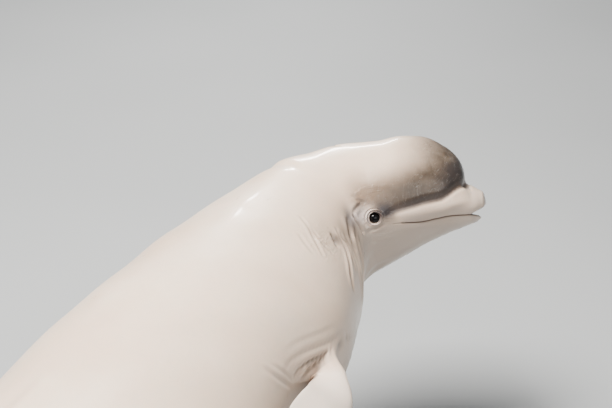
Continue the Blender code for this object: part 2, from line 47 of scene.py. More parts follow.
# ------------------------------------------------------------------ the body
# The same named sizes as the solids: s is the distance from the beak tip
# along the spine, theta the angle round the section from the left side up.
BODY_LENGTH = 3.80
HEAD_ATTITUDE = (-69.16 * DEG, 7.85 * DEG, 27.26 * DEG)
TRUNK_ATTITUDE = (0.0, 9.35 * DEG, 13.58 * DEG)
TAIL_ATTITUDE = (-5.0 * DEG, 1.5 * DEG, 5.0 * DEG)
NECK_BEND = (0.332, 0.800)
NECK_BEND_POWER = 0.663
TAIL_BEND = (2.10, 3.50)
AXIS_STATION = 1.55
AXIS_HEIGHT = 0.640
MOUTH_CORNER = 0.247

BODY = np.array([
    (0.000, 0.0340, -0.0300, 0.0380, 0.000),
    (0.004, 0.0360, -0.0315, 0.0425, 0.000),
    (0.012, 0.0400, -0.0340, 0.0500, 0.000),
    (0.028, 0.0500, -0.0420, 0.0670, -0.002),
    (0.044, 0.0640, -0.0500, 0.0790, -0.004),
    (0.055, 0.0970, -0.0560, 0.0870, 0.000),
    (0.068, 0.1350, -0.0610, 0.0960, 0.010),
    (0.109, 0.1810, -0.0750, 0.1210, 0.030),
    (0.178, 0.2166, -0.1010, 0.1470, 0.045),
    (0.244, 0.2229, -0.1330, 0.1700, 0.040),
    (0.309, 0.2145, -0.1620, 0.1890, 0.025),
    (0.368, 0.2140, -0.1860, 0.2000, 0.010),
    (0.482, 0.2190, -0.2250, 0.2190, 0.000),
    (0.560, 0.2170, -0.2440, 0.2330, -0.010),
    (0.640, 0.2190, -0.2650, 0.2520, -0.020),
    (0.800, 0.2455, -0.3140, 0.3010, -0.030),
    (1.000, 0.2840, -0.3430, 0.3360, -0.030),
    (1.300, 0.3226, -0.3640, 0.3550, -0.020),
    (1.600, 0.3440, -0.3720, 0.3700, -0.010),
    (1.900, 0.3380, -0.3600, 0.3550, 0.000),
    (2.300, 0.2960, -0.3000, 0.2920, 0.000),
    (2.700, 0.2180, -0.2120, 0.1980, 0.000),
    (3.100, 0.1450, -0.1350, 0.1160, 0.000),
    (3.400, 0.1000, -0.0880, 0.0660, 0.000),
    (3.600, 0.0640, -0.0540, 0.0400, 0.000),
    (3.740, 0.0340, -0.0280, 0.0260, 0.000),
    (3.800, 0.0260, -0.0200, 0.0200, 0.000)])
TOP_POWER, BOTTOM_POWER, JAW_POWER = 2.0, 2.1, 2.15
JAW = np.array([
    (0.018, -0.0450, 0.040), (0.028, -0.0510, 0.050), (0.040, -0.0555, 0.062),
    (0.055, -0.0600, 0.075), (0.080, -0.0675, 0.095), (0.109, -0.0765, 0.114),
    (0.178, -0.1020, 0.143), (0.260, -0.1400, 0.173)])
UPPER_LIP = np.array([(0.000, -0.004), (0.006, -0.0105), (0.024, -0.0195),
                      (0.049, -0.0290), (0.100, -0.0275), (0.148, -0.0325),
                      (0.190, -0.0375), (0.247, -0.0360), (0.500, -0.0290),
                      (0.900, -0.0300), (1.600, -0.0100), (2.300, 0.0), (3.800, 0.0)])
LOWER_LIP = np.array([(0.018, -0.0350), (0.030, -0.0335), (0.049, -0.0298),
                      (0.100, -0.0283), (0.148, -0.0333), (0.190, -0.0383),
                      (0.247, -0.0368), (0.500, -0.0298)])
CREASE = np.array([(0.000, 0.006), (0.028, 0.026), (0.046, 0.056),
                   (0.060, 0.060), (0.075, 0.055), (0.090, 0.046),
                   (0.105, 0.035), (0.125, 0.025), (0.150, 0.021),
                   (0.175, 0.018), (0.200, 0.012), (0.235, 0.004),
                   (0.265, -0.003), (0.300, -0.010), (0.500, -0.012)])
CREASE_DEPTH = np.array([(0.000, 0.0), (0.036, 0.0), (0.052, 0.010),
                         (0.100, 0.010), (0.200, 0.0065), (0.270, 0.0035),
                         (0.300, 0.0), (0.500, 0.0)])
RIDGE = np.array([(0.00, 0.0), (1.55, 0.0), (1.75, 0.010), (2.00, 0.018),
                  (2.25, 0.014), (2.50, 0.004), (2.70, 0.0), (3.80, 0.0)])
FLIPPER_STATION = 1.092
FLIPPER_ANGLE = -4.0 * DEG
FLIPPER_LENGTH = 0.43
FLIPPER_TIP_CURL = 0.017
FLIPPER_SWEPT = (-0.957, -0.275, 0.095)
FLIPPER_LEAN = 0.75
FLIPPER_TURN = 0.60
FLIPPER_TWIST = -1.29
FLIPPER_TWIST_END = 0.463
FLIPPER = np.array([
    (-0.30, 0.037, -0.035, 0.060), (0.00, 0.037, -0.035, 0.057),
    (0.16, 0.044, -0.045, 0.048), (0.34, 0.069, -0.060, 0.039),
    (0.52, 0.076, -0.079, 0.032), (0.68, 0.086, -0.088, 0.026),
    (0.81, 0.081, -0.085, 0.021), (0.91, 0.064, -0.069, 0.017),
    (0.967, 0.038, -0.042, 0.012), (1.000, 0.005, -0.009, 0.006)])
FLUKE_SPAN = 0.90
FLUKE_ROOT_STATION = 3.42
FLUKE = np.array([
    (0.00, 3.400, 3.800, 0.060), (0.06, 3.425, 3.832, 0.050),
    (0.16, 3.470, 3.885, 0.040), (0.30, 3.520, 3.925, 0.033),
    (0.48, 3.578, 3.940, 0.027), (0.66, 3.642, 3.932, 0.021),
    (0.82, 3.712, 3.912, 0.016), (0.92, 3.775, 3.895, 0.012),
    (0.98, 3.832, 3.890, 0.008), (1.00, 3.858, 3.872, 0.005)])
EYE_STATION = 0.320
EYE_HEIGHT = -0.0145
EYE_SOLID_HEIGHT = -0.011
EYE_RADIUS = 0.0215
EYE_SHOWN_RADIUS = 0.0150


def curve(xs, ys):
    """Monotone cubic through the given knots."""
    xs = np.asarray(xs, float)
    ys = np.asarray(ys, float)
    h = np.diff(xs)
    d = np.diff(ys) / h
    m = np.zeros(len(xs))
    for i in range(1, len(xs) - 1):
        if d[i - 1] * d[i] > 0:
            w1 = 2 * h[i] + h[i - 1]
            w2 = h[i] + 2 * h[i - 1]
            m[i] = (w1 + w2) / (w1 / d[i - 1] + w2 / d[i])
    m[0], m[-1] = d[0], d[-1]

    def value(x):
        x = np.clip(x, xs[0], xs[-1])
        i = np.clip(np.searchsorted(xs, x, side='right') - 1, 0, len(h) - 1)
        t = (x - xs[i]) / h[i]
        return ((1 + 2 * t) * (1 - t) ** 2 * ys[i] + t * (1 - t) ** 2 * h[i] * m[i]
                + t * t * (3 - 2 * t) * ys[i + 1] + t * t * (t - 1) * h[i] * m[i + 1])
    return value


top_of = curve(BODY[:, 0], BODY[:, 1])
bottom_of = curve(BODY[:, 0], BODY[:, 2])
half_width_of = curve(BODY[:, 0], BODY[:, 3])
widest_of = curve(BODY[:, 0], BODY[:, 4])
jaw_bottom_of = curve(JAW[:, 0], JAW[:, 1])
jaw_width_of = curve(JAW[:, 0], JAW[:, 2])
upper_lip_of = curve(UPPER_LIP[:, 0], UPPER_LIP[:, 1])
lower_lip_of = curve(LOWER_LIP[:, 0], LOWER_LIP[:, 1])
crease_of = curve(CREASE[:, 0], CREASE[:, 1])
crease_depth_of = curve(CREASE_DEPTH[:, 0], CREASE_DEPTH[:, 1])
ridge_of = curve(RIDGE[:, 0], RIDGE[:, 1])


def smooth(a, b, x):
    t = np.clip((x - a) / (b - a), 0.0, 1.0)
    return t * t * (3 - 2 * t)


def bump(x, centre, width):
    return np.exp(-((x - centre) / width) ** 2)


def attitude(heading, pitch, roll):
    forward = Vector((math.cos(heading) * math.cos(pitch),
                      math.sin(heading) * math.cos(pitch), math.sin(pitch)))
    left = Vector((-math.sin(heading), math.cos(heading), 0.0))
    up = forward.cross(left)
    tilted_left = left * math.cos(roll) - up * math.sin(roll)
    tilted_up = up * math.cos(roll) + left * math.sin(roll)
    return Matrix((forward, tilted_left, tilted_up)).transposed().to_quaternion()


Q_HEAD = attitude(*HEAD_ATTITUDE)
Q_TRUNK = attitude(*TRUNK_ATTITUDE)
Q_TAIL = attitude(*TAIL_ATTITUDE)


def turn(s):
    if s < NECK_BEND[1]:
        t = min(max((s - NECK_BEND[0]) / (NECK_BEND[1] - NECK_BEND[0]), 0.0), 1.0)
        t = t ** NECK_BEND_POWER
        return Q_HEAD.slerp(Q_TRUNK, t * t * (3 - 2 * t)).to_matrix()
    t = min(max((s - TAIL_BEND[0]) / (TAIL_BEND[1] - TAIL_BEND[0]), 0.0), 1.0)
    return Q_TRUNK.slerp(Q_TAIL, t * t * (3 - 2 * t)).to_matrix()


STEP = 0.001
COUNT = int(round(BODY_LENGTH / STEP)) + 1
_turns = np.array([[tuple(row) for row in turn(i * STEP)] for i in range(COUNT)])
_line = np.zeros((COUNT, 3))
_f = _turns[:, :, 0]
_line[1:] = -np.cumsum((_f[1:] + _f[:-1]) * 0.5 * STEP, axis=0)
_line += np.array((0.0, 0.0, AXIS_HEIGHT)) - _line[int(round(AXIS_STATION / STEP))]
_stations = np.arange(COUNT) * STEP


def spine(s):
    """Point and the forward, left and up directions at stations s."""
    s = np.asarray(s, float)
    o = np.stack([np.interp(s, _stations, _line[:, k]) for k in range(3)], -1)
    m = np.stack([np.stack([np.interp(s, _stations, _turns[:, r, c])
                            for r in range(3)], -1) for c in range(3)], -1)
    return o, m[..., 0], m[..., 1], m[..., 2]


TIP_ROUND = 0.010           # the beak rounds off over this length
END_ROUND = (3.782, 3.800)  # and the tail end over this


def end_factor(s):
    a = np.sqrt(np.clip(1 - (1 - np.clip(s / TIP_ROUND, 0, 1)) ** 2, 0, 1))
    b = np.sqrt(np.clip(1 - np.clip((s - END_ROUND[0]) / (END_ROUND[1] - END_ROUND[0]), 0, 1) ** 2, 0, 1))
    return a * b


def section(s, th):
    """Left and up coordinates of the plain skin."""
    c, sn = np.cos(th), np.sin(th)
    e = end_factor(s)
    zt, zb, w, zw = top_of(s) * e, bottom_of(s) * e, half_width_of(s) * e, widest_of(s) * e
    jaw = (1 - smooth(0.150, MOUTH_CORNER, s)) * (sn < 0)
    jz = jaw_bottom_of(s)
    jw = np.minimum(jaw_width_of(s), half_width_of(s) - 0.002)
    zb = zb * (1 - jaw) + jz * jaw
    wl = w * (1 - jaw) + jw * jaw
    n = np.where(sn >= 0, TOP_POWER, BOTTOM_POWER)
    y = np.where(sn >= 0, w, wl) * np.sign(c) * np.abs(c) ** (2 / n)
    z = zw + np.where(sn >= 0, zt - zw, zw - zb) * np.sign(sn) * np.abs(sn) ** (2 / n)
    ridge = ridge_of(s) * np.exp(-(y / 0.030) ** 2) * (sn > 0)
    return y, z + ridge


def upper_section(s, th):
    """As section, with the upper beak's own lower side."""
    c, sn = np.cos(th), np.sin(th)
    e = end_factor(s)
    zt, zb, w, zw = top_of(s) * e, bottom_of(s) * e, half_width_of(s) * e, widest_of(s) * e
    n = np.where(sn >= 0, TOP_POWER, BOTTOM_POWER)
    y = w * np.sign(c) * np.abs(c) ** (2 / n)
    z = zw + np.where(sn >= 0, zt - zw, zw - zb) * np.sign(sn) * np.abs(sn) ** (2 / n)
    ridge = ridge_of(s) * np.exp(-(y / 0.030) ** 2) * (sn > 0)
    return y, z + ridge


def angle_at(s, z, lower=False):
    """Angle on the left side at which the section has height z."""
    s = np.asarray(s, float)
    e = end_factor(s)
    zt, zb, zw = top_of(s) * e, bottom_of(s) * e, widest_of(s) * e
    if lower:
        jaw = (1 - smooth(0.150, MOUTH_CORNER, s))
        zb = zb * (1 - jaw) + jaw_bottom_of(s) * jaw
    up = np.arcsin(np.clip((z - zw) / np.maximum(zt - zw, 1e-6), 0, 1) ** (TOP_POWER / 2))
    dn = -np.arcsin(np.clip((zw - z) / np.maximum(zw - zb, 1e-6), 0, 1) ** (BOTTOM_POWER / 2))
    return np.where(z >= zw, up, dn)


def to_world(s, y, z, along=0.0):
    o, f, l, u = spine(s)
    y, z = np.asarray(y)[..., None], np.asarray(z)[..., None]
    a = np.asarray(along)[..., None] if np.ndim(along) else along
    return o + f * a + l * y + u * z


def plain(s, th, lower=False):
    y, z = (section if lower else upper_section)(s, th)
    return to_world(s, y, z)


def plain_normal(s, th, lower=False):
    d = 4e-4
    s1, s0 = np.clip(s + d, 1e-5, BODY_LENGTH - 1e-5), np.clip(s - d, 1e-5, BODY_LENGTH - 1e-5)
    ds = plain(s1, th, lower) - plain(s0, th, lower)
    dt = plain(s, th + 1e-3, lower) - plain(s, th - 1e-3, lower)
    n = np.cross(dt, ds)
    n /= np.maximum(np.linalg.norm(n, axis=-1, keepdims=True), 1e-12)
    o, f, l, u = spine(s)
    out = plain(s, th, lower) - o
    sign = np.sign((n * out).sum(-1, keepdims=True))
    sign[sign == 0] = 1
    return n * sign


# ---------------------------------------------------- creases, folds, swells
# Lines on the right side as (station, angle); the left side mirrors them.
# name, points, half width, depth, height of the swell beside it
LINES = [
    # the raised edge of the patch behind the eye, and its fold
    ('eye_ridge', [(0.492, 167.0), (0.476, 174.2), (0.428, 185.5), (0.392, 193.5)], 0.0045, 0.0068, 0.0036),
    ('patch_top', [(0.492, 166.8), (0.420, 169.5), (0.368, 172.2), (0.336, 176.0)], 0.0050, 0.0022, 0.0016),
    ('brow', [(0.424, 162.8), (0.392, 167.3), (0.362, 171.5)], 0.0040, 0.0024, 0.0018),
    ('brow_2', [(0.452, 158.0), (0.420, 161.0), (0.388, 164.0)], 0.0045, 0.0012, 0.0010),
    ('under_eye', [(0.366, 196.5), (0.330, 199.0), (0.292, 198.5)], 0.0050, 0.0018, 0.0012),
    ('grey_fold', [(0.556, 160.5), (0.584, 164.0), (0.628, 168.0), (0.640, 176.0)], 0.0080, 0.0060, 0.0034),
    ('fold_f', [(0.632, 165.2), (0.664, 171.8), (0.676, 179.5), (0.716, 184.8), (0.748, 190.0), (0.764, 199.0)], 0.0070, 0.0095, 0.0048),
    ('fold_f2', [(0.560, 172.0), (0.585, 181.0), (0.610, 191.0), (0.640, 203.0), (0.655, 217.0)], 0.0070, 0.0085, 0.0046),
    ('fold_f3', [(0.500, 186.0), (0.530, 196.0), (0.560, 208.0), (0.580, 222.0)], 0.0070, 0.0040, 0.0024),
    ('fold_d', [(0.684, 150.5), (0.704, 155.0), (0.728, 159.8), (0.764, 164.5), (0.808, 170.5), (0.832, 178.0)], 0.0056, 0.0085, 0.0040),
    ('fold_e', [(0.676, 154.3), (0.696, 158.0), (0.704, 163.0), (0.728, 168.0), (0.752, 176.0)], 0.0046, 0.0060, 0.0028),
    ('neck_a', [(0.766, 126.0), (0.772, 128.0), (0.792, 133.8), (0.816, 138.8), (0.836, 143.8), (0.858, 149.5)], 0.0040, 0.0062, 0.0030),
    ('neck_b', [(0.776, 133.2), (0.800, 138.5), (0.812, 144.2), (0.816, 149.5), (0.812, 153.4)], 0.0040, 0.0040, 0.0022),
    ('neck_c', [(0.800, 142.0), (0.806, 146.0), (0.800, 150.2)], 0.0036, 0.0026, 0.0016),
    ('neck_d', [(0.840, 131.0), (0.862, 137.0), (0.880, 144.0)], 0.0050, 0.0016, 0.0012),
    ('pit_side', [(0.738, 147.5), (0.748, 151.0), (0.768, 154.6)], 0.0060, 0.0090, 0.0034),
    ('chest_a', [(0.880, 196.0), (0.865, 206.0), (0.852, 216.0)], 0.0070, 0.0024, 0.0016),
    ('chest_b', [(0.925, 200.0), (0.908, 210.0), (0.896, 221.0)], 0.0070, 0.0020, 0.0014),
    ('root_a', [(1.247, 171.1), (1.219, 170.6), (1.171, 172.4), (1.114, 176.2), (1.048, 181.0), (0.985, 184.0), (0.940, 190.0)], 0.0042, 0.0050, 0.0028),
    ('root_b', [(1.222, 175.6), (1.190, 174.9), (1.150, 176.2), (1.100, 178.6), (1.040, 181.6)], 0.0036, 0.0048, 0.0026),
    ('root_c', [(1.276, 165.6), (1.235, 164.4), (1.175, 166.8), (1.110, 171.6), (1.045, 176.4), (0.975, 180.0)], 0.0042, 0.0018, 0.0007),
    ('root_d', [(1.215, 159.6), (1.150, 162.8), (1.080, 168.2), (1.010, 173.0)], 0.0044, 0.0011, 0.0005),
    ('axil_a', [(1.314, 155.7), (1.295, 164.0), (1.262, 174.0)], 0.0060, 0.0020, 0.0015),
    ('axil_b', [(1.285, 158.1), (1.266, 165.2), (1.252, 171.6)], 0.0050, 0.0018, 0.0013),
    ('axil_c', [(1.240, 190.0), (1.225, 200.0), (1.190, 209.0)], 0.0060, 0.0030, 0.0018),
    ('axil_d', [(1.285, 190.0), (1.275, 201.0), (1.245, 212.0)], 0.0070, 0.0020, 0.0014),
]


def refine(points, step=0.006):
    """Points along a smooth line on the plain skin."""
    p = np.array(points, float)
    k = np.arange(len(p), dtype=float)
    fs, ft = curve(k, p[:, 0]), curve(k, p[:, 1])
    u = np.linspace(0, len(p) - 1, 8 * len(p))
    return fs(u), ft(u) * DEG


def line_distance(P, line):
    """Distance to a polyline and the fraction along it, in world metres."""
    best = np.full(len(P), 1e9)
    frac = np.zeros(len(P))
    seg = np.linalg.norm(np.diff(line, axis=0), axis=1)
    total = seg.sum()
    start = np.concatenate([[0], np.cumsum(seg)])[:-1]
    for a, b, l, st in zip(line[:-1], line[1:], seg, start):
        ab = b - a
        t = np.clip(((P - a) @ ab) / max(l * l, 1e-12), 0, 1)
        d = np.linalg.norm(P - (a + t[:, None] * ab), axis=1)
        m = d < best
        best[m] = d[m]
        frac[m] = (st + t[m] * l) / total
    return best, frac


def relief(P, s, th):
    """Height of the real skin over the plain skin, and how deep in a fold."""
    shape = s.shape
    P, s, th = P.reshape(-1, 3), s.ravel(), th.ravel()
    y, z = upper_section(s, th)
    D = np.zeros(len(s))
    cavity = np.zeros(len(s))
    # crease between lip and melon, with the lip swelling under it
    zc = crease_of(s)
    zl = upper_lip_of(s)
    depth = crease_depth_of(s)
    dz = z - zc
    wide = np.where(dz > 0, 0.016, 0.0075)
    groove = np.exp(-(dz / wide) ** 2) * depth
    D -= groove
    cavity += groove / 0.010
    lip = np.exp(-((z - (zc * 0.45 + zl * 0.55)) / 0.015) ** 2)
    D += 0.0030 * lip * smooth(0.03, 0.08, s) * (1 - smooth(0.19, 0.27, s))
    D += 0.0022 * bump(z, zl - 0.016, 0.010) * smooth(0.05, 0.10, s) * (1 - smooth(0.17, 0.25, s))
    # the melon stands over the beak in a short step
    corner = bump(s, 0.0495, 0.0055) * smooth(0.035, 0.060, z)
    D -= 0.0050 * corner
    cavity += 0.8 * corner
    # cheek in front of the eye, and a soft hollow behind the melon
    D -= 0.004 * bump(s, 0.262, 0.040) * bump(z, 0.022, 0.028)
    D += 0.004 * bump(s, 0.330, 0.060) * bump(z, 0.000, 0.050)
    D -= 0.006 * bump(s, 0.470, 0.070) * smooth(0.12, 0.20, z)
    # the blowhole: a crescent that opens forwards, on a low mound
    across = y / 0.030
    hole = bump(s, 0.405 + 0.016 * (1 - np.clip(across, -1.3, 1.3) ** 2), 0.0042) \
        * (1 - smooth(0.80, 1.15, np.abs(across))) * (np.sin(th) > 0.8)
    mound = bump(s, 0.412, 0.045) * bump(y, 0, 0.050) * (np.sin(th) > 0.5)
    D += 0.005 * mound - 0.0080 * hole
    cavity += 1.3 * hole
    # chin and throat: long shallow pleats
    under = smooth(-0.05, -0.14, z) * (np.cos(th) ** 2 < 0.7)
    pleat = np.sin(y / 0.030 * math.pi) * smooth(0.26, 0.34, s) * (1 - smooth(0.62, 0.80, s))
    D += 0.0022 * pleat * under
    # slow swells, so that the flanks aren't ruled
    D += 0.0045 * np.sin(5.1 * s + 1.7 * np.cos(th)) * np.sin(2 * th + 0.8) * smooth(0.9, 1.4, s) * (1 - smooth(3.0, 3.4, s))
    D += 0.0030 * np.sin(11.0 * s + 2.2 * np.sin(th) + 0.6) * np.cos(3 * th - 0.5) * smooth(0.7, 1.2, s) * (1 - smooth(2.8, 3.2, s))
    D += 0.0014 * np.sin(26.0 * s + 3.0 * np.cos(2 * th)) * np.sin(4 * th) * smooth(0.45, 0.8, s) * (1 - smooth(2.6, 3.0, s))
    # shoulder swell over each flipper
    for root in (math.pi - FLIPPER_ANGLE, 2 * math.pi + FLIPPER_ANGLE):
        a = np.abs((th - root + math.pi) % (2 * math.pi) - math.pi)
        D += 0.011 * bump(s, 1.02, 0.14) * np.exp(-(a / 0.46) ** 2)
        D -= 0.004 * bump(s, 1.26, 0.10) * np.exp(-(a / 0.34) ** 2)
    # the nape steps down behind the head in one short fold
    crest = np.exp(-((th - 86 * DEG) / 0.42) ** 2)
    D += 0.0085 * crest * smooth(0.470, 0.540, s) * (1 - smooth(0.541, 0.556, s))
    D -= 0.0020 * crest * bump(s, 0.562, 0.010)
    # navel and belly slit
    belly = np.abs((th - 1.5 * math.pi + math.pi) % (2 * math.pi) - math.pi)
    navel = bump(s, 1.95, 0.022) * np.exp(-(belly * 0.34 / 0.016) ** 2)
    slit = smooth(2.36, 2.40, s) * (1 - smooth(2.58, 2.62, s)) * np.exp(-(belly * 0.25 / 0.0085) ** 2)
    D -= 0.007 * navel + 0.009 * slit
    D += 0.006 * bump(s, 2.49, 0.12) * np.exp(-(belly * 0.25 / 0.035) ** 2)
    cavity += 0.6 * navel + 1.0 * slit
    # small notches along the ridge on the back
    crown = np.exp(-(y / 0.022) ** 2) * (np.sin(th) > 0)
    D -= 0.0035 * crown * np.maximum(0, np.sin(s * 96.0)) ** 4 * smooth(1.72, 1.82, s) * (1 - smooth(2.28, 2.42, s))
    # folds along lines
    for entry in LINES:
        name, points, half, deep, swell = entry
        ls, lt = refine(points)
        for mirror in (False, True):
            a = lt if not mirror else math.pi - lt
            line = plain(ls, a)
            low, high = line.min(0) - 0.035, line.max(0) + 0.035
            near = np.nonzero(((P > low) & (P < high)).all(1))[0]
            if len(near) == 0:
                continue
            d, f = line_distance(P[near], line)
            taper = np.sin(np.clip(f, 0.0, 1.0) * math.pi) ** 0.55
            scale = 1.0 if not mirror else 0.55
            g = np.exp(-(d / half) ** 2) * taper
            D[near] -= deep * scale * g
            D[near] += swell * scale * taper * np.exp(-((d - 2.1 * half) / (1.2 * half)) ** 2)
            cavity[near] += scale * g * min(1.0, deep / 0.005)
    # ear pinhole behind the eye, and the dent behind the jaw
    for mirror in (False, True):
        for (ps, pt, rad, deep) in ((0.560, 176.0, 0.0035, 0.004), (0.752, 152.4, 0.0150, 0.0080)):
            a = pt * DEG if not mirror else math.pi - pt * DEG
            c = plain(np.array([ps]), np.array([a]))[0]
            d = np.linalg.norm(P - c, axis=1)
            g = np.exp(-(d / rad) ** 2)
            k = 1.0 if not mirror else 0.4
            D -= deep * g * (k if rad > 0.01 else 1.0)
            cavity += g * (k if rad > 0.01 else 1.0)
    # eyelids, as rings round each eye
    for side, data in EYES.items():
        rel = P - data['skin']
        near = np.nonzero((np.abs(rel) < 0.075).all(1))[0]
        if len(near) == 0:
            continue
        x = rel[near] @ data['ahead']
        v = rel[near] @ data['up']
        D[near] += lid_relief(x, v)
        cavity[near] += lid_cavity(x, v)
    return D.reshape(shape), np.clip(cavity, 0, 1.6).reshape(shape)


def lid_radius(x, v):
    """Distance from the eye's middle in lid-opening units of metres."""
    return np.hypot(x, v * 1.10)


def lid_relief(x, v):
    r = lid_radius(x, v)
    ang = np.arctan2(v, x)
    back_up = 0.5 + 0.5 * np.cos(ang - 125 * DEG)
    h = 0.0030 * np.exp(-(np.maximum(r - 0.018, 0) / 0.016) ** 2)
    h += 0.0012 * bump(r, 0.0204, 0.0016)
    h -= 0.0030 * (0.35 + 0.65 * back_up) * bump(r, 0.0228, 0.0013)
    h += 0.0026 * back_up * bump(r, 0.0262, 0.0019)
    h -= 0.0026 * back_up ** 1.5 * bump(r, 0.0302, 0.0015)
    h -= 0.0012 * (1 - back_up) * bump(r, 0.0272, 0.0022)
    return h


def lid_cavity(x, v):
    r = lid_radius(x, v)
    ang = np.arctan2(v, x)
    back_up = 0.5 + 0.5 * np.cos(ang - 125 * DEG)
    return (1.1 * (0.35 + 0.65 * back_up) * bump(r, 0.0228, 0.0015)
            + 1.0 * back_up ** 1.5 * bump(r, 0.0302, 0.0016))


# the eyes lie where the solids have them
EYES = {}
for side, label in ((1, 'left'), (-1, 'right')):
    th = float(angle_at(EYE_STATION, EYE_HEIGHT))
    th = th if side > 0 else math.pi - th
    low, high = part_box('eye_' + label)
    centre = (np.array(low) + np.array(high)) / 2
    skin = plain(np.array([EYE_STATION]), np.array([th]))[0]
    # the shown eye sits a little lower than the solid ball
    th0 = float(angle_at(EYE_STATION, EYE_SOLID_HEIGHT))
    th0 = th0 if side > 0 else math.pi - th0
    centre = centre + skin - plain(np.array([EYE_STATION]), np.array([th0]))[0]
    out = skin - centre
    out /= np.linalg.norm(out)
    o, f, l, u = spine(np.array([EYE_STATION]))
    ahead = f[0] - out * (f[0] @ out)
    ahead /= np.linalg.norm(ahead)
    up = u[0] - out * (u[0] @ out) - ahead * (u[0] @ ahead)
    up /= np.linalg.norm(up)
    EYES[side] = dict(centre=centre, skin=skin, out=out, ahead=ahead, up=up, th=th, label=label)

# --------------------------------------------------------------- skin builder
verts, faces, face_uv, owner = [], [], [], []
pools = []                  # (points array) blocks, joined at the end
count = 0


def add_points(P):
    global count
    P = np.asarray(P, float).reshape(-1, 3)
    pools.append(P)
    first = count
    count += len(P)
    return np.arange(first, first + len(P))


def spacing(parts):
    c = np.concatenate([[0], np.cumsum(np.concatenate([[a] * n for a, n in parts]))])
    return c / c[-1]


COARSE = 1.0
UP = spacing([(0.8, 6), (1.6, 8), (2.2, int(26 / COARSE)), (4.2, int(26 / COARSE)), (2.4, 10)])
DOWN = spacing([(0.8, 5), (1.8, 8), (4.2, int(26 / COARSE))])
UP_EVEN = np.linspace(0, 1, len(UP))
DOWN_EVEN = np.linspace(0, 1, len(DOWN))


def station_list():
    s = [0.0004, 0.0012, 0.0024, 0.0040, 0.0060, 0.0082, 0.0106, 0.0132, 0.0160]
    s += list(np.arange(0.0185, 0.0600, 0.0021 * COARSE))
    s += list(np.arange(s[-1] + 0.0026, MOUTH_CORNER - 0.0010, 0.0026 * COARSE))
    s += list(MOUTH_CORNER + np.arange(0, 0.2531, 0.0028 * COARSE))
    s += list(np.arange(s[-1] + 0.0042, 0.950, 0.0042 * COARSE))
    s += list(np.arange(s[-1] + 0.0045, 1.340, 0.0046 * COARSE))
    s += list(np.arange(s[-1] + 0.0080, 2.450, 0.0095 * COARSE))
    s += list(np.arange(s[-1] + 0.0100, 3.380, 0.0110 * COARSE))
    s += list(np.arange(s[-1] + 0.0070, 3.782, 0.0080 * COARSE))
    s += [3.7830, 3.7870, 3.7910, 3.7945, 3.7972, 3.7990]
    return np.array(s)


STATIONS = station_list()
I_JAW = int(np.argmin(np.abs(STATIONS - 0.0185)))
I_CORNER = int(np.argmin(np.abs(STATIONS - MOUTH_CORNER)))
NS, NU, ND = len(STATIONS), len(UP) - 1, len(DOWN) - 1

blend = smooth(0.35, 0.90, STATIONS)[:, None]
up_frac = UP[None] * (1 - blend) + UP_EVEN[None] * blend
down_frac = DOWN[None] * (1 - blend) + DOWN_EVEN[None] * blend
zlu = upper_lip_of(STATIONS) * np.where(STATIONS < TIP_ROUND, np.maximum(end_factor(STATIONS), 0.05), 1)
th_up = angle_at(STATIONS, zlu)
th_left = th_up[:, None] + (math.pi / 2 - th_up[:, None]) * up_frac
TH_UPPER = np.concatenate([th_left, math.pi - th_left[:, -2::-1]], 1)      # 2NU+1
jaw_closed = np.minimum(lower_lip_of(STATIONS), upper_lip_of(STATIONS) - 0.0004)
zll = np.where(STATIONS < MOUTH_CORNER - 0.002, jaw_closed, upper_lip_of(STATIONS))
th_dn = angle_at(STATIONS, zll, lower=True)
low_left = -math.pi / 2 + (th_dn[:, None] + math.pi / 2) * (1 - down_frac)   # from lip to chin
TH_LOWER = np.concatenate([math.pi - low_left, 2 * math.pi + low_left[:, -2::-1]], 1)  # right lip .. chin .. left lip


def lip_inset(h, r):
    h = np.clip(h, 0, None)
    r = np.maximum(r, 1e-5)
    k = np.clip(r - h, 0, None)
    return np.where(h < r, r - np.sqrt(np.clip(r * r - k * k, 0, None)), 0.0)


LIP_R = curve([0.0, 0.004, 0.02, 0.05, 0.20, MOUTH_CORNER, MOUTH_CORNER + 0.012, MOUTH_CORNER + 0.03, 4.0],
              [0.0008, 0.003, 0.0052, 0.0050, 0.0045, 0.0032, 0.0014, 0.0, 0.0])


def surface(S, TH, lower):
    """Real skin over the grid, with relief and the rounding of the lips."""
    P = plain(S, TH, lower)
    N = plain_normal(S, TH, lower)
    D, C = relief(P, S, TH)
    y, z = (section if lower else upper_section)(S, TH)
    lipz = zll if lower else zlu
    lip_line = np.interp(S, STATIONS, lipz)
    h = (lip_line - z) if lower else (z - lip_line)
    r = LIP_R(S) * (0.85 if lower else 1.0)
    inset = lip_inset(np.abs(h), r)
    inset = np.where(S > MOUTH_CORNER, lip_inset(np.abs(z - lip_line), r), inset)
    k = np.clip(1 - np.abs(h) / np.maximum(r, 1e-5), 0, 1) * (r > 2e-4)
    C = np.maximum(C, 1.3 * k ** 1.5)
    # near the beak tip the relief fades, so that the tip closes cleanly
    D = D * smooth(0.0, 0.012, S)
    return P + N * (D - inset)[..., None], np.clip(C, 0, 1.6)


S_UP = np.repeat(STATIONS[:, None], TH_UPPER.shape[1], 1)
P_UP, C_UP = surface(S_UP, TH_UPPER, False)
S_LO = np.repeat(STATIONS[:, None], TH_LOWER.shape[1], 1)
P_LO, C_LO = surface(S_LO, TH_LOWER, True)

# the jaw tip rounds off towards a point inside the lower lip
e_j = np.sqrt(np.clip(1 - (1 - np.clip((STATIONS - 0.0175) / 0.0115, 0, 1)) ** 2, 0, 1))
JAW_POLE = (0.0178, 0.0, -0.0405)
for i in range(I_JAW, NS):
    if e_j[i] >= 1:
        break
    o = to_world(STATIONS[i:i + 1], np.array([0.0]), np.array([JAW_POLE[2]]))[0]
    P_LO[i] = o + (P_LO[i] - o) * e_j[i]

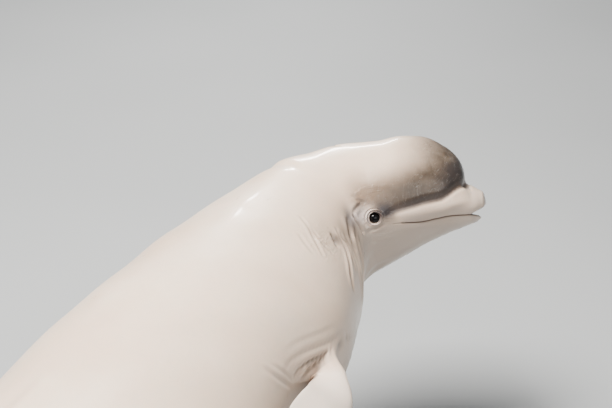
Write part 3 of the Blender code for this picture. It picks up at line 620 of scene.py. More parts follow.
id_up = add_points(P_UP).reshape(P_UP.shape[:2])
id_lo = -np.ones(P_LO.shape[:2], int)
# behind the mouth the lip columns of both arcs are one and the same
own = np.zeros(P_LO.shape[:2], bool)
own[I_JAW:I_CORNER] = True
own[I_CORNER:, 1:-1] = True
id_lo[own] = add_points(P_LO[own])
id_lo[I_CORNER:, 0] = id_up[I_CORNER:, -1]
id_lo[I_CORNER:, -1] = id_up[I_CORNER:, 0]

attr_s, attr_t, attr_c = [S_UP.ravel(), S_LO[own]], [TH_UPPER.ravel(), TH_LOWER[own]], [C_UP.ravel(), C_LO[own]]

# roof and floor of the closed mouth, between the lips
NM = 15
mid = np.linspace(0, 1, NM + 2)[1:-1]


def mouth_sheet(P, left, right, rows, lift, sign):
    out = []
    for i in rows:
        a, b = P[i, left], P[i, right]
        o, f, l, u = spine(STATIONS[i:i + 1])
        arch = 4 * mid * (1 - mid)
        out.append(a + (b - a) * mid[:, None] + u[0] * (lift[i] * arch)[:, None] * sign)
    return np.array(out)


lift = 0.006 * smooth(0.0, 0.05, STATIONS) * (1 - smooth(0.10, 0.20, STATIONS))
rows_roof = np.arange(0, I_CORNER + 1)
roof = mouth_sheet(P_UP, 0, -1, rows_roof, lift, 1.0)
rows_floor = np.arange(I_JAW, I_CORNER)
floor_pts = mouth_sheet(P_LO, -1, 0, rows_floor, lift * smooth(0.02, 0.07, STATIONS), 1.0)
id_roof = np.full((NS, NM + 2), -1)
id_roof[rows_roof, 1:-1] = add_points(roof).reshape(len(rows_roof), NM)
id_roof[rows_roof, 0], id_roof[rows_roof, -1] = id_up[rows_roof, 0], id_up[rows_roof, -1]
id_floor = np.full((NS, NM + 2), -1)
id_floor[rows_floor, 1:-1] = add_points(floor_pts).reshape(len(rows_floor), NM)
id_floor[rows_floor, 0], id_floor[rows_floor, -1] = id_lo[rows_floor, -1], id_lo[rows_floor, 0]
id_floor[I_CORNER] = id_roof[I_CORNER]
for rows in (rows_roof, rows_floor):
    n = len(rows) * NM
    attr_s.append(np.repeat(STATIONS[rows], NM))
    attr_t.append(np.full(n, 0.0))
    attr_c.append(np.full(n, 1.6))

# ------------------------------------------------ UV bands on the unit square
quads, quad_uv, tris, tri_uv = [], [], [], []


def grid_faces(ids, us, vs, keep=None):
    """Quads of a grid of vertex ids with UVs per grid line."""
    a, b = ids[:-1, :-1], ids[1:, :-1]
    c, d = ids[1:, 1:], ids[:-1, 1:]
    q = np.stack([a, b, c, d], -1)
    U, V = np.meshgrid(us, vs, indexing='ij')
    uv = np.stack([U, V], -1)
    quv = np.stack([uv[:-1, :-1], uv[1:, :-1], uv[1:, 1:], uv[:-1, 1:]], -2)
    m = np.ones(q.shape[:2], bool) if keep is None else keep.copy()
    m &= (q >= 0).all(-1)
    quads.append(q[m])
    quad_uv.append(quv[m])


u_of = 0.01 + 0.98 * np.arange(NS) / (NS - 1)
v_up = 0.42 + 0.57 * np.arange(TH_UPPER.shape[1]) / (TH_UPPER.shape[1] + TH_LOWER.shape[1] - 2)
v_lo = v_up[-1] + (0.99 - v_up[-1]) * np.arange(TH_LOWER.shape[1]) / (TH_LOWER.shape[1] - 1)
keep_up = np.ones((NS - 1, TH_UPPER.shape[1] - 1), bool)
keep_lo = np.ones((NS - 1, TH_LOWER.shape[1] - 1), bool)
keep_lo[:I_JAW] = False


def col_of(th_row, th):
    return int(np.argmin(np.abs(th_row - th)))


TH_FULL = np.concatenate([TH_UPPER, TH_LOWER[:, 1:]], 1)
P_FULL = np.concatenate([P_UP, P_LO[:, 1:]], 1)
ID_FULL = np.concatenate([id_up, id_lo[:, 1:]], 1)      # last column is the first again
NF = ID_FULL.shape[1] - 1


def cut_ring_block(s0, s1, t0, t1):
    """Opens a block of the whole ring; t0 may be under the first column."""
    i0, i1 = int(np.argmin(np.abs(STATIONS - s0))), int(np.argmin(np.abs(STATIONS - s1)))
    im = (i0 + i1) // 2
    row = TH_FULL[im, :NF]

    def near(t):
        return int(np.argmin(np.abs((row - t + math.pi) % (2 * math.pi) - math.pi)))
    j0, j1 = near(t0), near(t1)
    if j1 <= j0:
        j1 += NF
    for j in range(j0, j1):
        k = j % NF
        if k < TH_UPPER.shape[1] - 1:
            keep_up[i0:i1, k] = False
        else:
            keep_lo[i0:i1, k - (TH_UPPER.shape[1] - 1)] = False
    n = j1 - j0
    places = [(i0, j) for j in range(j0, j1)] + [(i, j1) for i in range(i0, i1)] \
        + [(i1, j) for j in range(j1, j0, -1)] + [(i, j0) for i in range(i1, i0, -1)]
    ring = np.array([ID_FULL[i, j % NF] for i, j in places])
    pts = np.array([P_FULL[i, j % NF] for i, j in places])
    s_b = np.array([STATIONS[i] for i, j in places])
    t_b = np.array([TH_FULL[i, j % NF] for i, j in places])
    return ring, pts, s_b, t_b, (i1 - i0, n)


def cut_block(s0, s1, t0, t1, which):
    """Opens a block of the grid; returns its boundary loop of ids and grid
    places, starting at the first row and column."""
    TH, ids, keep = (TH_UPPER, id_up, keep_up) if which == 'up' else (TH_LOWER, id_lo, keep_lo)
    i0, i1 = int(np.argmin(np.abs(STATIONS - s0))), int(np.argmin(np.abs(STATIONS - s1)))
    im = (i0 + i1) // 2
    j0, j1 = col_of(TH[im], t0), col_of(TH[im], t1)
    keep[i0:i1, j0:j1] = False
    loop = [(i0, j) for j in range(j0, j1)] + [(i, j1) for i in range(i0, i1)] \
        + [(i1, j) for j in range(j1, j0, -1)] + [(i, j0) for i in range(i1, i0, -1)]
    return loop, ids, TH, (i1 - i0, j1 - j0)


def tube_faces(rings_ids, box, flip=False):
    """Quads between successive closed rings, with a band of UV."""
    m = len(rings_ids[0])
    n = len(rings_ids)
    u0, v0, u1, v1 = box
    us = u0 + (u1 - u0) * np.arange(m + 1) / m
    vs = v0 + (v1 - v0) * np.arange(n) / max(n - 1, 1)
    ids = np.array([np.append(r, r[0]) for r in rings_ids])
    if flip:
        ids = ids[:, ::-1]
        us = us[::-1]
    grid_faces(ids, vs, us)


def fan(ring, pole, box, flip=False):
    m = len(ring)
    u0, v0, u1, v1 = box
    k = np.arange(m)
    k2 = (k + 1) % m
    t = np.stack([ring[k], ring[k2], np.full(m, pole)], -1)
    us = u0 + (u1 - u0) * np.arange(m + 1) / m
    uv = np.stack([np.stack([us[:-1], np.full(m, v0)], -1), np.stack([us[1:], np.full(m, v0)], -1),
                   np.stack([(us[:-1] + us[1:]) / 2, np.full(m, v1)], -1)], 1)
    if flip:
        t, uv = t[:, ::-1], uv[:, ::-1]
    tris.append(t)
    tri_uv.append(uv)


# ------------------------------------------------------------- eye openings
EYE_RINGS = 26
for side, eye in EYES.items():
    th_e = eye['th']
    # the block lies in the upper arc on both sides
    t_low, t_high = (th_e - 0.150, th_e + 0.27) if side > 0 else (th_e - 0.27, th_e + 0.150)
    loop, ids, TH, dims = cut_block(EYE_STATION - 0.044, EYE_STATION + 0.048, t_low, t_high, 'up')
    ring0 = np.array([ids[i, j] for i, j in loop])
    s_b = np.array([STATIONS[i] for i, j in loop])
    t_b = np.array([TH[i, j] for i, j in loop])
    Pb = plain(s_b, t_b)
    xb = (Pb - eye['skin']) @ eye['ahead']
    vb = (Pb - eye['skin']) @ eye['up']
    ang = np.arctan2(vb * 1.10, xb)
    # lid opening in the same local measures
    ro = 0.0196
    xo, vo = ro * np.cos(ang), ro * np.sin(ang) / 1.10
    # map local measures to (s, theta) by the scales at the eye
    ks = (plain(np.array([EYE_STATION + 1e-3]), np.array([eye['th']]))[0] - eye['skin']) @ eye['ahead'] / 1e-3
    kt = (plain(np.array([EYE_STATION]), np.array([eye['th'] + 1e-3]))[0] - eye['skin']) @ eye['up'] / 1e-3
    kx = (plain(np.array([EYE_STATION]), np.array([eye['th'] + 1e-3]))[0] - eye['skin']) @ eye['ahead'] / 1e-3
    kv = (plain(np.array([EYE_STATION + 1e-3]), np.array([eye['th']]))[0] - eye['skin']) @ eye['up'] / 1e-3
    inv = np.linalg.inv(np.array([[ks, kx], [kv, kt]]))
    st = inv @ np.stack([xo, vo])
    s_o, t_o = EYE_STATION + st[0], eye['th'] + st[1]
    rings = [ring0]
    w = 1 - (1 - np.linspace(0, 1, EYE_RINGS + 1)[1:]) ** 1.35
    last_P = None
    for k in w:
        S = s_b + (s_o - s_b) * k
        T = t_b + (t_o - t_b) * k
        P, C = surface(S[None], T[None], False)
        rings.append(add_points(P[0]))
        attr_s.append(S), attr_t.append(T), attr_c.append(C[0])
        last_P = P[0]
    # the lid's edge turns in over the ball and runs on behind it
    rel = last_P - eye['centre']
    c0, o_ = eye['centre'], eye['out']
    flat = rel - (rel @ o_)[:, None] * o_
    direction = flat / np.linalg.norm(flat, axis=1, keepdims=True)
    a_edge = np.arctan2(np.linalg.norm(flat, axis=1), rel @ o_)
    r_edge = np.linalg.norm(rel, axis=1)
    R = EYE_RADIUS
    a_rim = math.asin(min(0.0150, 0.90 * R) / R)
    inner = [(-0.020, None, 0.45), (-0.026, None, 0.85), (0.0, R + 0.00045, 1.0), (0.05, R + 0.00035, 1.0),
             (0.16, R + 0.0004, 1.0), (0.34, R + 0.0006, 1.0), (0.62, R + 0.0010, 1.0), (1.00, R + 0.0012, 1.0),
             (1.45, R + 0.0012, 1.0)]
    for da, rr, f in inner:
        a = a_edge + (a_rim - a_edge) * f + da
        target = R + 0.00045
        r = (r_edge * (1 - f) + target * f) if rr is None else np.full(len(a), rr)
        P = c0 + r[:, None] * (np.cos(a)[:, None] * o_ + np.sin(a)[:, None] * direction)
        rings.append(add_points(P))
        attr_s.append(np.full(len(a), EYE_STATION)), attr_t.append(np.full(len(a), eye['th']))
        attr_c.append(np.full(len(a), 0.55 if da < 0 else 1.3))
    pole = add_points(c0 - o_ * (R + 0.0012))[0]
    attr_s.append([EYE_STATION]), attr_t.append([eye['th']]), attr_c.append([1.3])
    box = (0.02, 0.02, 0.46, 0.17) if side > 0 else (0.52, 0.02, 0.96, 0.17)
    eye['rings'] = (rings, pole, box)

# ------------------------------------------------------------------ flippers
flip_lead = curve(FLIPPER[:, 0], FLIPPER[:, 1])
flip_trail = curve(FLIPPER[:, 0], FLIPPER[:, 2])
flip_thick = curve(FLIPPER[:, 0], FLIPPER[:, 3])


def loop_angles(dims, nose, tail, front_first=True):
    """Angle round a blade section for each loop vertex: the block's front
    side goes to the leading edge, its rear side to the trailing edge."""
    ni, nj = dims
    a = list(-nose + 2 * nose * np.arange(nj) / nj)
    a += list(nose + (math.pi - tail - nose) * np.arange(ni) / ni)
    a += list(math.pi - tail + 2 * tail * np.arange(nj) / nj)
    a += list(math.pi + tail + (math.pi - tail - nose) * np.arange(ni) / ni)
    return np.array(a)


def flipper_frames(fractions):
    """Point, tangent, chord and normal of the right flipper in the trunk's
    own directions, with the centre line's own side for the curl."""
    y, z = [float(v) for v in section(np.array(FLIPPER_STATION), np.array(math.pi - FLIPPER_ANGLE))]
    y2, z2 = [float(v) for v in section(np.array(FLIPPER_STATION), np.array(math.pi - FLIPPER_ANGLE + 0.001))]
    out = np.array([0.0, z2 - z, y - y2])
    out /= np.linalg.norm(out)
    if out[1] > 0:
        out = -out
    swept = np.array(FLIPPER_SWEPT) / np.linalg.norm(FLIPPER_SWEPT)
    ahead = np.array([1.0, 0.0, 0.0])

    def heading(t):
        w = FLIPPER_LEAN + (1 - FLIPPER_LEAN) * float(smooth(0, FLIPPER_TURN, t))
        v = out * (1 - w) + swept * w
        return v / np.linalg.norm(v)
    point = np.array([0.0, y, z])
    last = 0.0
    res = []
    for t in fractions:
        for k in range(12):
            point = point + heading(last + (t - last) * (k + 0.5) / 12) * (FLIPPER_LENGTH * (t - last) / 12)
        last = t
        tan = heading(t)
        chord = ahead - tan * (ahead @ tan)
        chord /= np.linalg.norm(chord)
        n0 = np.cross(tan, chord)
        w = FLIPPER_TWIST * float(smooth(0, FLIPPER_TWIST_END, t))
        res.append((t, point + n0 * FLIPPER_TIP_CURL * t ** 2.2, tan,
                    chord * math.cos(w) + n0 * math.sin(w), n0 * math.cos(w) - chord * math.sin(w)))
    return res


def blade(angles, lead, trail, thick):
    mid, half = (lead + trail) / 2, (lead - trail) / 2
    x = np.cos(angles)
    t = np.sin(angles) * 0.5 * thick * (0.80 + 0.28 * x)
    return mid + half * x, t


def fin(block, ring_at, fractions, end_point, box, name, pull, reach, steps):
    """Stitches a fin to an opened block, with a filleted root."""
    ring0, Pb, s_b, t_b, dims = block
    Nb = plain_normal(s_b[None], t_b[None], False)[0]
    F0, ax = ring_at(fractions[0])
    rings = [ring0]
    chord = np.linalg.norm(F0 - Pb, axis=1)
    inward = F0 - Pb
    inward -= (inward * Nb).sum(1, keepdims=True) * Nb
    P1, P2 = Pb + inward * pull, F0 - ax * (chord * reach)[:, None]
    for k in range(1, steps):
        t = k / steps
        P = ((1 - t) ** 3 * Pb + 3 * (1 - t) ** 2 * t * P1 + 3 * (1 - t) * t * t * P2 + t ** 3 * F0)
        rings.append(add_points(P))
        attr_s.append(s_b), attr_t.append(t_b), attr_c.append(np.zeros(len(P)))
        fin_tag.append((rings[-1], name, -1 + t))
    for t in fractions:
        P, _ = ring_at(t)
        rings.append(add_points(P))
        n = len(P)
        attr_s.append(np.full(n, s_b.mean())), attr_t.append(np.full(n, t_b[0])), attr_c.append(np.zeros(n))
        fin_tag.append((rings[-1], name, t))
    pole = add_points(end_point)[0]
    attr_s.append([s_b.mean()]), attr_t.append([t_b[0]]), attr_c.append([0.0])
    fins.append((rings, pole, box))


def best_turn(ring_at_angles, first, angs, Pb):
    """Runs the blade's angles the way that meets the loop without a twist."""
    a = np.linalg.norm(ring_at_angles(first, angs)[0] - Pb, axis=1).sum()
    b = np.linalg.norm(ring_at_angles(first, -angs)[0] - Pb, axis=1).sum()
    return -angs if b < a else angs


fin_tag = []
fins = []
turn_f = np.array([[v for v in row] for row in turn(FLIPPER_STATION)])
foot = spine(np.array([FLIPPER_STATION]))[0][0]
for side, label in ((1, 'left'), (-1, 'right')):
    angle = math.pi - FLIPPER_ANGLE if side < 0 else FLIPPER_ANGLE
    block = cut_ring_block(FLIPPER_STATION - 0.058, FLIPPER_STATION + 0.102, angle - 0.108, angle + 0.108)
    angs0 = loop_angles(block[4], 36 * DEG, 30 * DEG)
    fractions = [0.165, 0.185, 0.205, 0.230, 0.260] + list(np.linspace(0.30, 0.93, 42)) \
        + [0.945, 0.96, 0.972, 0.982, 0.990, 0.996]
    frames = {round(f[0], 5): f for f in flipper_frames(fractions)}

    def blade_ring(t, angs, side=side, frames=frames):
        _, point, tan, chord, normal = frames[round(t, 5)]
        x, h = blade(angs, float(flip_lead(t)), float(flip_trail(t)), float(flip_thick(t)))
        # soft waves and a slight bow across the blade
        h = h + 0.0012 * np.sin(x * 48 + t * 3.0) * smooth(0.2, 0.5, t) * (1 - smooth(0.85, 1.0, t)) \
            - 0.30 * (x ** 2) * smooth(0.3, 1.0, t)
        local = point[None] + chord[None] * x[:, None] + normal[None] * h[:, None]
        flip = np.array([1.0, -side, 1.0])
        return foot + (local * flip) @ turn_f.T, (tan * flip) @ turn_f.T
    angs = best_turn(blade_ring, fractions[0], angs0, block[1])
    end = flipper_frames([1.0])[0]
    end_local = end[1] - end[3] * 0.002
    end_point = foot + (end_local * np.array([1.0, -side, 1.0])) @ turn_f.T
    box = (0.02, 0.19, 0.24, 0.39) if side > 0 else (0.26, 0.19, 0.48, 0.39)
    fin(block, lambda t, f=blade_ring, a=angs: f(t, a), fractions, end_point, box, 'flipper', 0.55, 0.42,
        10)

# -------------------------------------------------------------------- flukes
fluke_lead = curve(FLUKE[:, 0], FLUKE[:, 1])
fluke_trail = curve(FLUKE[:, 0], FLUKE[:, 2])
fluke_thick = curve(FLUKE[:, 0], FLUKE[:, 3])
turn_t = np.array([[v for v in row] for row in turn(BODY_LENGTH)])
root_t = spine(np.array([FLUKE_ROOT_STATION]))[0][0]
for side, label in ((1, 'left'), (-1, 'right')):
    middle = 0.0 if side > 0 else math.pi
    fractions = [0.13, 0.16, 0.19] + list(np.linspace(0.22, 0.93, 40)) + [0.945, 0.958, 0.970, 0.980, 0.988, 0.995]

    def fluke_ring(t, angs, side=side):
        lead, trail, thick = float(fluke_lead(t)), float(fluke_trail(t)), float(fluke_thick(t))
        mid, half = (lead + trail) / 2, (trail - lead) / 2
        x = -np.cos(angs)
        # the trailing edge is a little scalloped, and thin
        edge = 0.0035 * math.sin(t * 31.0) * np.clip(x, 0, 1) ** 4 * float(smooth(0.15, 0.3, t)) * (1 - float(smooth(0.85, 0.97, t)))
        h = np.sin(angs) * 0.5 * thick * (0.80 - 0.30 * x)
        lift = -0.020 * t * t + 0.004
        s = mid + half * x + edge
        y = side * t * FLUKE_SPAN / 2
        local = np.stack([-(s - FLUKE_ROOT_STATION), np.full_like(s, y), lift + h], -1)
        return root_t + local @ turn_t.T, np.array([0.0, float(side), 0.0]) @ turn_t.T
    block = cut_ring_block(3.400, 3.776, middle - 0.62, middle + 0.62)
    angs = best_turn(fluke_ring, fractions[0], loop_angles(block[4], 30 * DEG, 24 * DEG), block[1])
    s_end, y_end = 3.868, side * FLUKE_SPAN / 2
    end_point = root_t + np.array([-(s_end - FLUKE_ROOT_STATION), y_end, -0.016]) @ turn_t.T
    box = (0.50, 0.19, 0.73, 0.39) if side > 0 else (0.75, 0.19, 0.98, 0.39)
    fin(block, lambda t, f=fluke_ring, a=angs: f(t, a), fractions, end_point, box, 'fluke', 0.45, 0.40,
        10)

# ------------------------------------------------------------ join the skin
grid_faces(id_up, u_of, v_up, keep_up)
grid_faces(id_lo, u_of, v_lo, keep_lo)
grid_faces(id_roof[:I_CORNER + 1, ::-1], u_of[:I_CORNER + 1] * 0.3 + 0.02, 0.175 + 0.012 * np.arange(NM + 2) / (NM + 1))
grid_faces(id_floor[I_JAW:I_CORNER + 1], u_of[I_JAW:I_CORNER + 1] * 0.3 + 0.5, 0.175 + 0.012 * np.arange(NM + 2) / (NM + 1))
# closing fans: beak tip, jaw tip, tail end
beak = add_points(to_world(np.array([0.0]), np.array([0.0]), np.array([-0.0005])))[0]
ring = np.concatenate([id_up[0], id_roof[0, 1:-1][::-1]])
fan(ring, beak, (0.01, 0.400, 0.20, 0.404), flip=True)
jaw_tip = add_points(to_world(np.array([JAW_POLE[0]]), np.array([0.0]), np.array([JAW_POLE[2]])))[0]
ring = np.concatenate([id_lo[I_JAW], id_floor[I_JAW, 1:-1]])
fan(ring, jaw_tip, (0.22, 0.400, 0.40, 0.404), flip=True)
tail_end = add_points(to_world(np.array([BODY_LENGTH]), np.array([0.0]), np.array([0.002])))[0]
ring = np.concatenate([id_up[-1], id_lo[-1, 1:-1]])
fan(ring, tail_end, (0.42, 0.400, 0.60, 0.404))
for v, s_, t_ in ((beak, 0.0, 1.5), (jaw_tip, 0.018, 4.7), (tail_end, 3.8, 0.0)):
    attr_s.append([s_]), attr_t.append([t_]), attr_c.append([0.0])
for side, eye in EYES.items():
    rings, pole, box = eye['rings']
    tube_faces(rings, box)
    fan(rings[-1], pole, (box[0], box[3], box[2], box[3] + 0.004))
for rings, pole, box in fins:
    tube_faces(rings, box)
    fan(rings[-1], pole, (box[0], box[3], box[2], box[3] + 0.004))

POINTS = np.concatenate(pools)
Q, QUV = np.concatenate(quads), np.concatenate(quad_uv)
T, TUV = np.concatenate(tris), np.concatenate(tri_uv)
A_S = np.concatenate([np.asarray(a, float).ravel() for a in attr_s])
A_T = np.concatenate([np.asarray(a, float).ravel() for a in attr_t])
A_C = np.concatenate([np.asarray(a, float).ravel() for a in attr_c])
assert len(POINTS) == len(A_S) == len(A_C), (len(POINTS), len(A_S), len(A_C))

mesh = bpy.data.meshes.new('skin')
nq, nt = len(Q), len(T)
mesh.vertices.add(len(POINTS))
mesh.vertices.foreach_set('co', POINTS.ravel())
mesh.loops.add(nq * 4 + nt * 3)
mesh.loops.foreach_set('vertex_index', np.concatenate([Q.ravel(), T.ravel()]).astype(np.int32))
mesh.polygons.add(nq + nt)
starts = np.concatenate([np.arange(nq) * 4, nq * 4 + np.arange(nt) * 3])
totals = np.concatenate([np.full(nq, 4), np.full(nt, 3)])
mesh.polygons.foreach_set('loop_start', starts.astype(np.int32))
mesh.polygons.foreach_set('loop_total', totals.astype(np.int32))
mesh.polygons.foreach_set('use_smooth', np.ones(nq + nt, bool))
uvl = mesh.uv_layers.new(name='OFBake')
uvl.data.foreach_set('uv', np.concatenate([QUV.reshape(-1, 2), TUV.reshape(-1, 2)]).ravel().astype(np.float32))
mesh.update(calc_edges=True)
mesh.validate(clean_customdata=False)
bm = bmesh.new()
bm.from_mesh(mesh)
bmesh.ops.recalc_face_normals(bm, faces=bm.faces)
edge_state = {0: 0, 1: 0, 2: 0, 3: 0}
for e in bm.edges:
    edge_state[min(3, len(e.link_faces))] += 1
print('skin', len(POINTS), 'points', nq, 'quads', nt, 'tris', 'edges by faces', edge_state, 'volume', round(bm.calc_volume(), 4))
if bm.calc_volume() < 0:
    bmesh.ops.reverse_faces(bm, faces=bm.faces)
bm.to_mesh(mesh)
bm.free()
skin = bpy.data.objects.new('skin', mesh)
bpy.context.scene.collection.objects.link(skin)

# the skin close under the rear edge of each flipper lies in shade
FIN_IDS = np.zeros(len(POINTS), bool)
for ids_, name, t in fin_tag:
    if t >= -0.5:
        FIN_IDS[ids_] = True
for side in (1, -1):
    edge = []
    for t, point, tan, chord, normal in flipper_frames([0.10, 0.16, 0.22, 0.28, 0.34, 0.42, 0.50, 0.58, 0.66, 0.74]):
        local = (point + chord * float(flip_trail(t)) * 0.85) * np.array([1.0, -side, 1.0])
        edge.append(foot + local @ turn_f.T)
    edge = np.array(edge)
    near = np.nonzero((~FIN_IDS) & ((POINTS > edge.min(0) - 0.10) & (POINTS < edge.max(0) + 0.10)).all(1))[0]
    d, f = line_distance(POINTS[near], edge)
    A_C[near] = np.clip(A_C[near] + 1.5 * np.exp(-(d / 0.040) ** 2) * (1 - smooth(0.35, 0.80, f)), 0, 1.6)

# ---------------------------------------------------------- marks on the skin
y_, z_ = upper_section(A_S, A_T)
right = (np.cos(A_T) < 0)


def set_attr(name, values):
    a = mesh.attributes.new(name, 'FLOAT', 'POINT')
    a.data.foreach_set('value', np.asarray(values, np.float32))


crease_z = np.interp(A_S, CREASE[:, 0], CREASE[:, 1])
above_lip = smooth(-0.012, 0.003, z_ - crease_z) * smooth(0.040, 0.052, A_S)
# dark over the front of the melon, reaching back along its lower side: grey-brown tone with painted shade where the
# melon's front and lower side turn away from the light
reach = A_S - 0.095 * (1 - smooth(0.055, 0.145, z_))
melon = (1 - smooth(0.100, 0.305, reach)) ** 1.15 * above_lip
# tan brown from the crease up the side of the head and over the eye
brow = (1 - smooth(0.035, 0.180, z_)) ** 1.25 * (1 - smooth(0.400, 0.510, A_S)) * above_lip
brow *= smooth(-0.012, 0.020, z_ - 0.02 * smooth(0.30, 0.34, A_S))
brow = np.clip(brow + 0.55 * bump(A_S, 0.335, 0.055) * bump(z_, 0.052, 0.026), 0, 1)
# grey-violet tone with painted shade along the crease under the melon, and in front of the eye
over = z_ - crease_z
violet = np.where(over > 0, np.exp(-(over / 0.019) ** 2), 1.0) * above_lip \
    * smooth(0.075, 0.140, A_S) * (1 - smooth(0.300, 0.318, A_S))
violet = np.maximum(violet, 1.1 * np.exp(-((A_S - 0.290) / 0.028) ** 2 - ((z_ - 0.004) / 0.027) ** 2) * (1 - smooth(0.308, 0.322, A_S)))
eye_front = np.zeros(len(A_S))
eye_patch = np.zeros(len(A_S))
lid = np.zeros(len(A_S))
lid_front_shade = np.zeros(len(A_S))
for side, eye in EYES.items():
    rel = POINTS - eye['skin']
    near = np.linalg.norm(rel, axis=1) < 0.20
    x = rel @ eye['ahead']
    v = rel @ eye['up']
    r = np.hypot(x, v)
    eye_front = np.maximum(eye_front, near * np.exp(-((x - 0.036) / 0.028) ** 4 - ((v - 0.013) / 0.020) ** 2) * smooth(0.017, 0.025, r))
    eye_patch = np.maximum(eye_patch, near * np.exp(-((x + 0.040) / 0.036) ** 2 - ((v - 0.006) / 0.028) ** 2))
    rr = np.hypot(x, v * 1.10)
    lid = np.maximum(lid, near * np.exp(-((rr - 0.0213) / 0.0018) ** 2) * (0.55 - 0.45 * x / np.maximum(r, 1e-6)))
    # painted shade: dark inner side of the lid opening towards the front of the eye
    lid_front_shade = np.maximum(lid_front_shade, near * np.exp(-((rr - 0.0178) / 0.0042) ** 4)
                          * smooth(-0.25, 0.55, (0.92 * x + 0.40 * v) / np.maximum(r, 1e-6)))
# darker still over the front of the melon: dark tone and painted shade where it faces away from the light
mfront = (1 - smooth(0.090, 0.160, A_S + 0.075 * smooth(0.10, 0.17, z_))) * above_lip
set_attr('melon', melon)
set_attr('mfront', mfront)
set_attr('brow', np.clip(brow, 0, 1))
set_attr('violet', np.clip(violet, 0, 1))
set_attr('eyepatch', eye_patch)
set_attr('eyefront', eye_front)
set_attr('lid', lid)
set_attr('lidshade', lid_front_shade)
set_attr('cavity', np.clip(A_C, 0, 1.5))
# tan tint on the upper lip and the beak tip, made darker as painted shade
lips = bump(z_, np.interp(A_S, UPPER_LIP[:, 0], UPPER_LIP[:, 1]) + 0.016, 0.020) * (1 - smooth(0.22, 0.27, A_S))
lips = np.maximum(lips, (1 - smooth(0.040, 0.055, A_S)) * 1.0)
set_attr('lips', np.clip(lips, 0, 1))
# grey tone on the chin and lower jaw, partly painted shade on the head's underside
chin = (1 - smooth(0.40, 0.62, A_S)) * smooth(-0.015, -0.060, z_)
set_attr('chin', np.clip(chin, 0, 1))
belly = smooth(0.15, -0.9, np.sin(A_T)) * smooth(0.5, 0.9, A_S)
set_attr('belly', np.clip(belly, 0, 1))
# brown tone on the sides of the neck and by its folds, with painted shade where the neck turns away from the light
warm = 0.8 * bump(A_S, 0.775, 0.085) * np.exp(-(((np.degrees(A_T) - 143) / 13) ** 2)) \
    + bump(A_S, 0.60, 0.12) * np.exp(-(((np.degrees(A_T) - 158) / 20) ** 2))
set_attr('warm', np.clip(warm, 0, 1))
deg = np.degrees(A_T)
# painted shade: dark brown in the neck folds behind the eye patch and in the pit behind the jaw
grey = 1.1 * bump(A_S, 0.550, 0.040) * np.exp(-(((deg - 164) / 9) ** 2)) \
    + 0.45 * bump(A_S, 0.530, 0.040) * np.exp(-(((deg - 182) / 14) ** 2)) \
    + 0.55 * bump(A_S, 0.650, 0.045) * np.exp(-(((deg - 160) / 8) ** 2)) \
    + 0.85 * bump(A_S, 0.741, 0.020) * np.exp(-(((deg - 152.0) / 4.0) ** 2)) \
    + 0.5 * bump(A_S, 0.715, 0.040) * np.exp(-(((deg - 162) / 6) ** 2))
set_attr('greyback', np.clip(grey, 0, 1))
fin_edge = np.zeros(len(A_S))
fin_on = np.zeros(len(A_S))
for ids_, name, t in fin_tag:
    fin_edge[ids_] = max(0.0, t) ** 3 if name == 'flipper' else max(0.0, t) ** 2 * 0.8
    fin_on[ids_] = min(1.0, max(0.0, t + 0.4) * 1.4) if name == 'flipper' else 0.0
set_attr('finedge', fin_edge)
set_attr('fin', fin_on)
wrinkle = np.exp(-((A_S - 0.98) / 0.14) ** 2) * np.exp(-(((np.degrees(A_T) - 215) / 26) ** 2)) \
    + 0.8 * bump(A_S, 0.80, 0.06) * np.exp(-(((np.degrees(A_T) - 143) / 12) ** 2)) \
    + 0.35 * bump(A_S, 0.36, 0.10) * (np.abs(z_) < 0.08)
set_attr('wrinkle', np.clip(wrinkle, 0, 1))


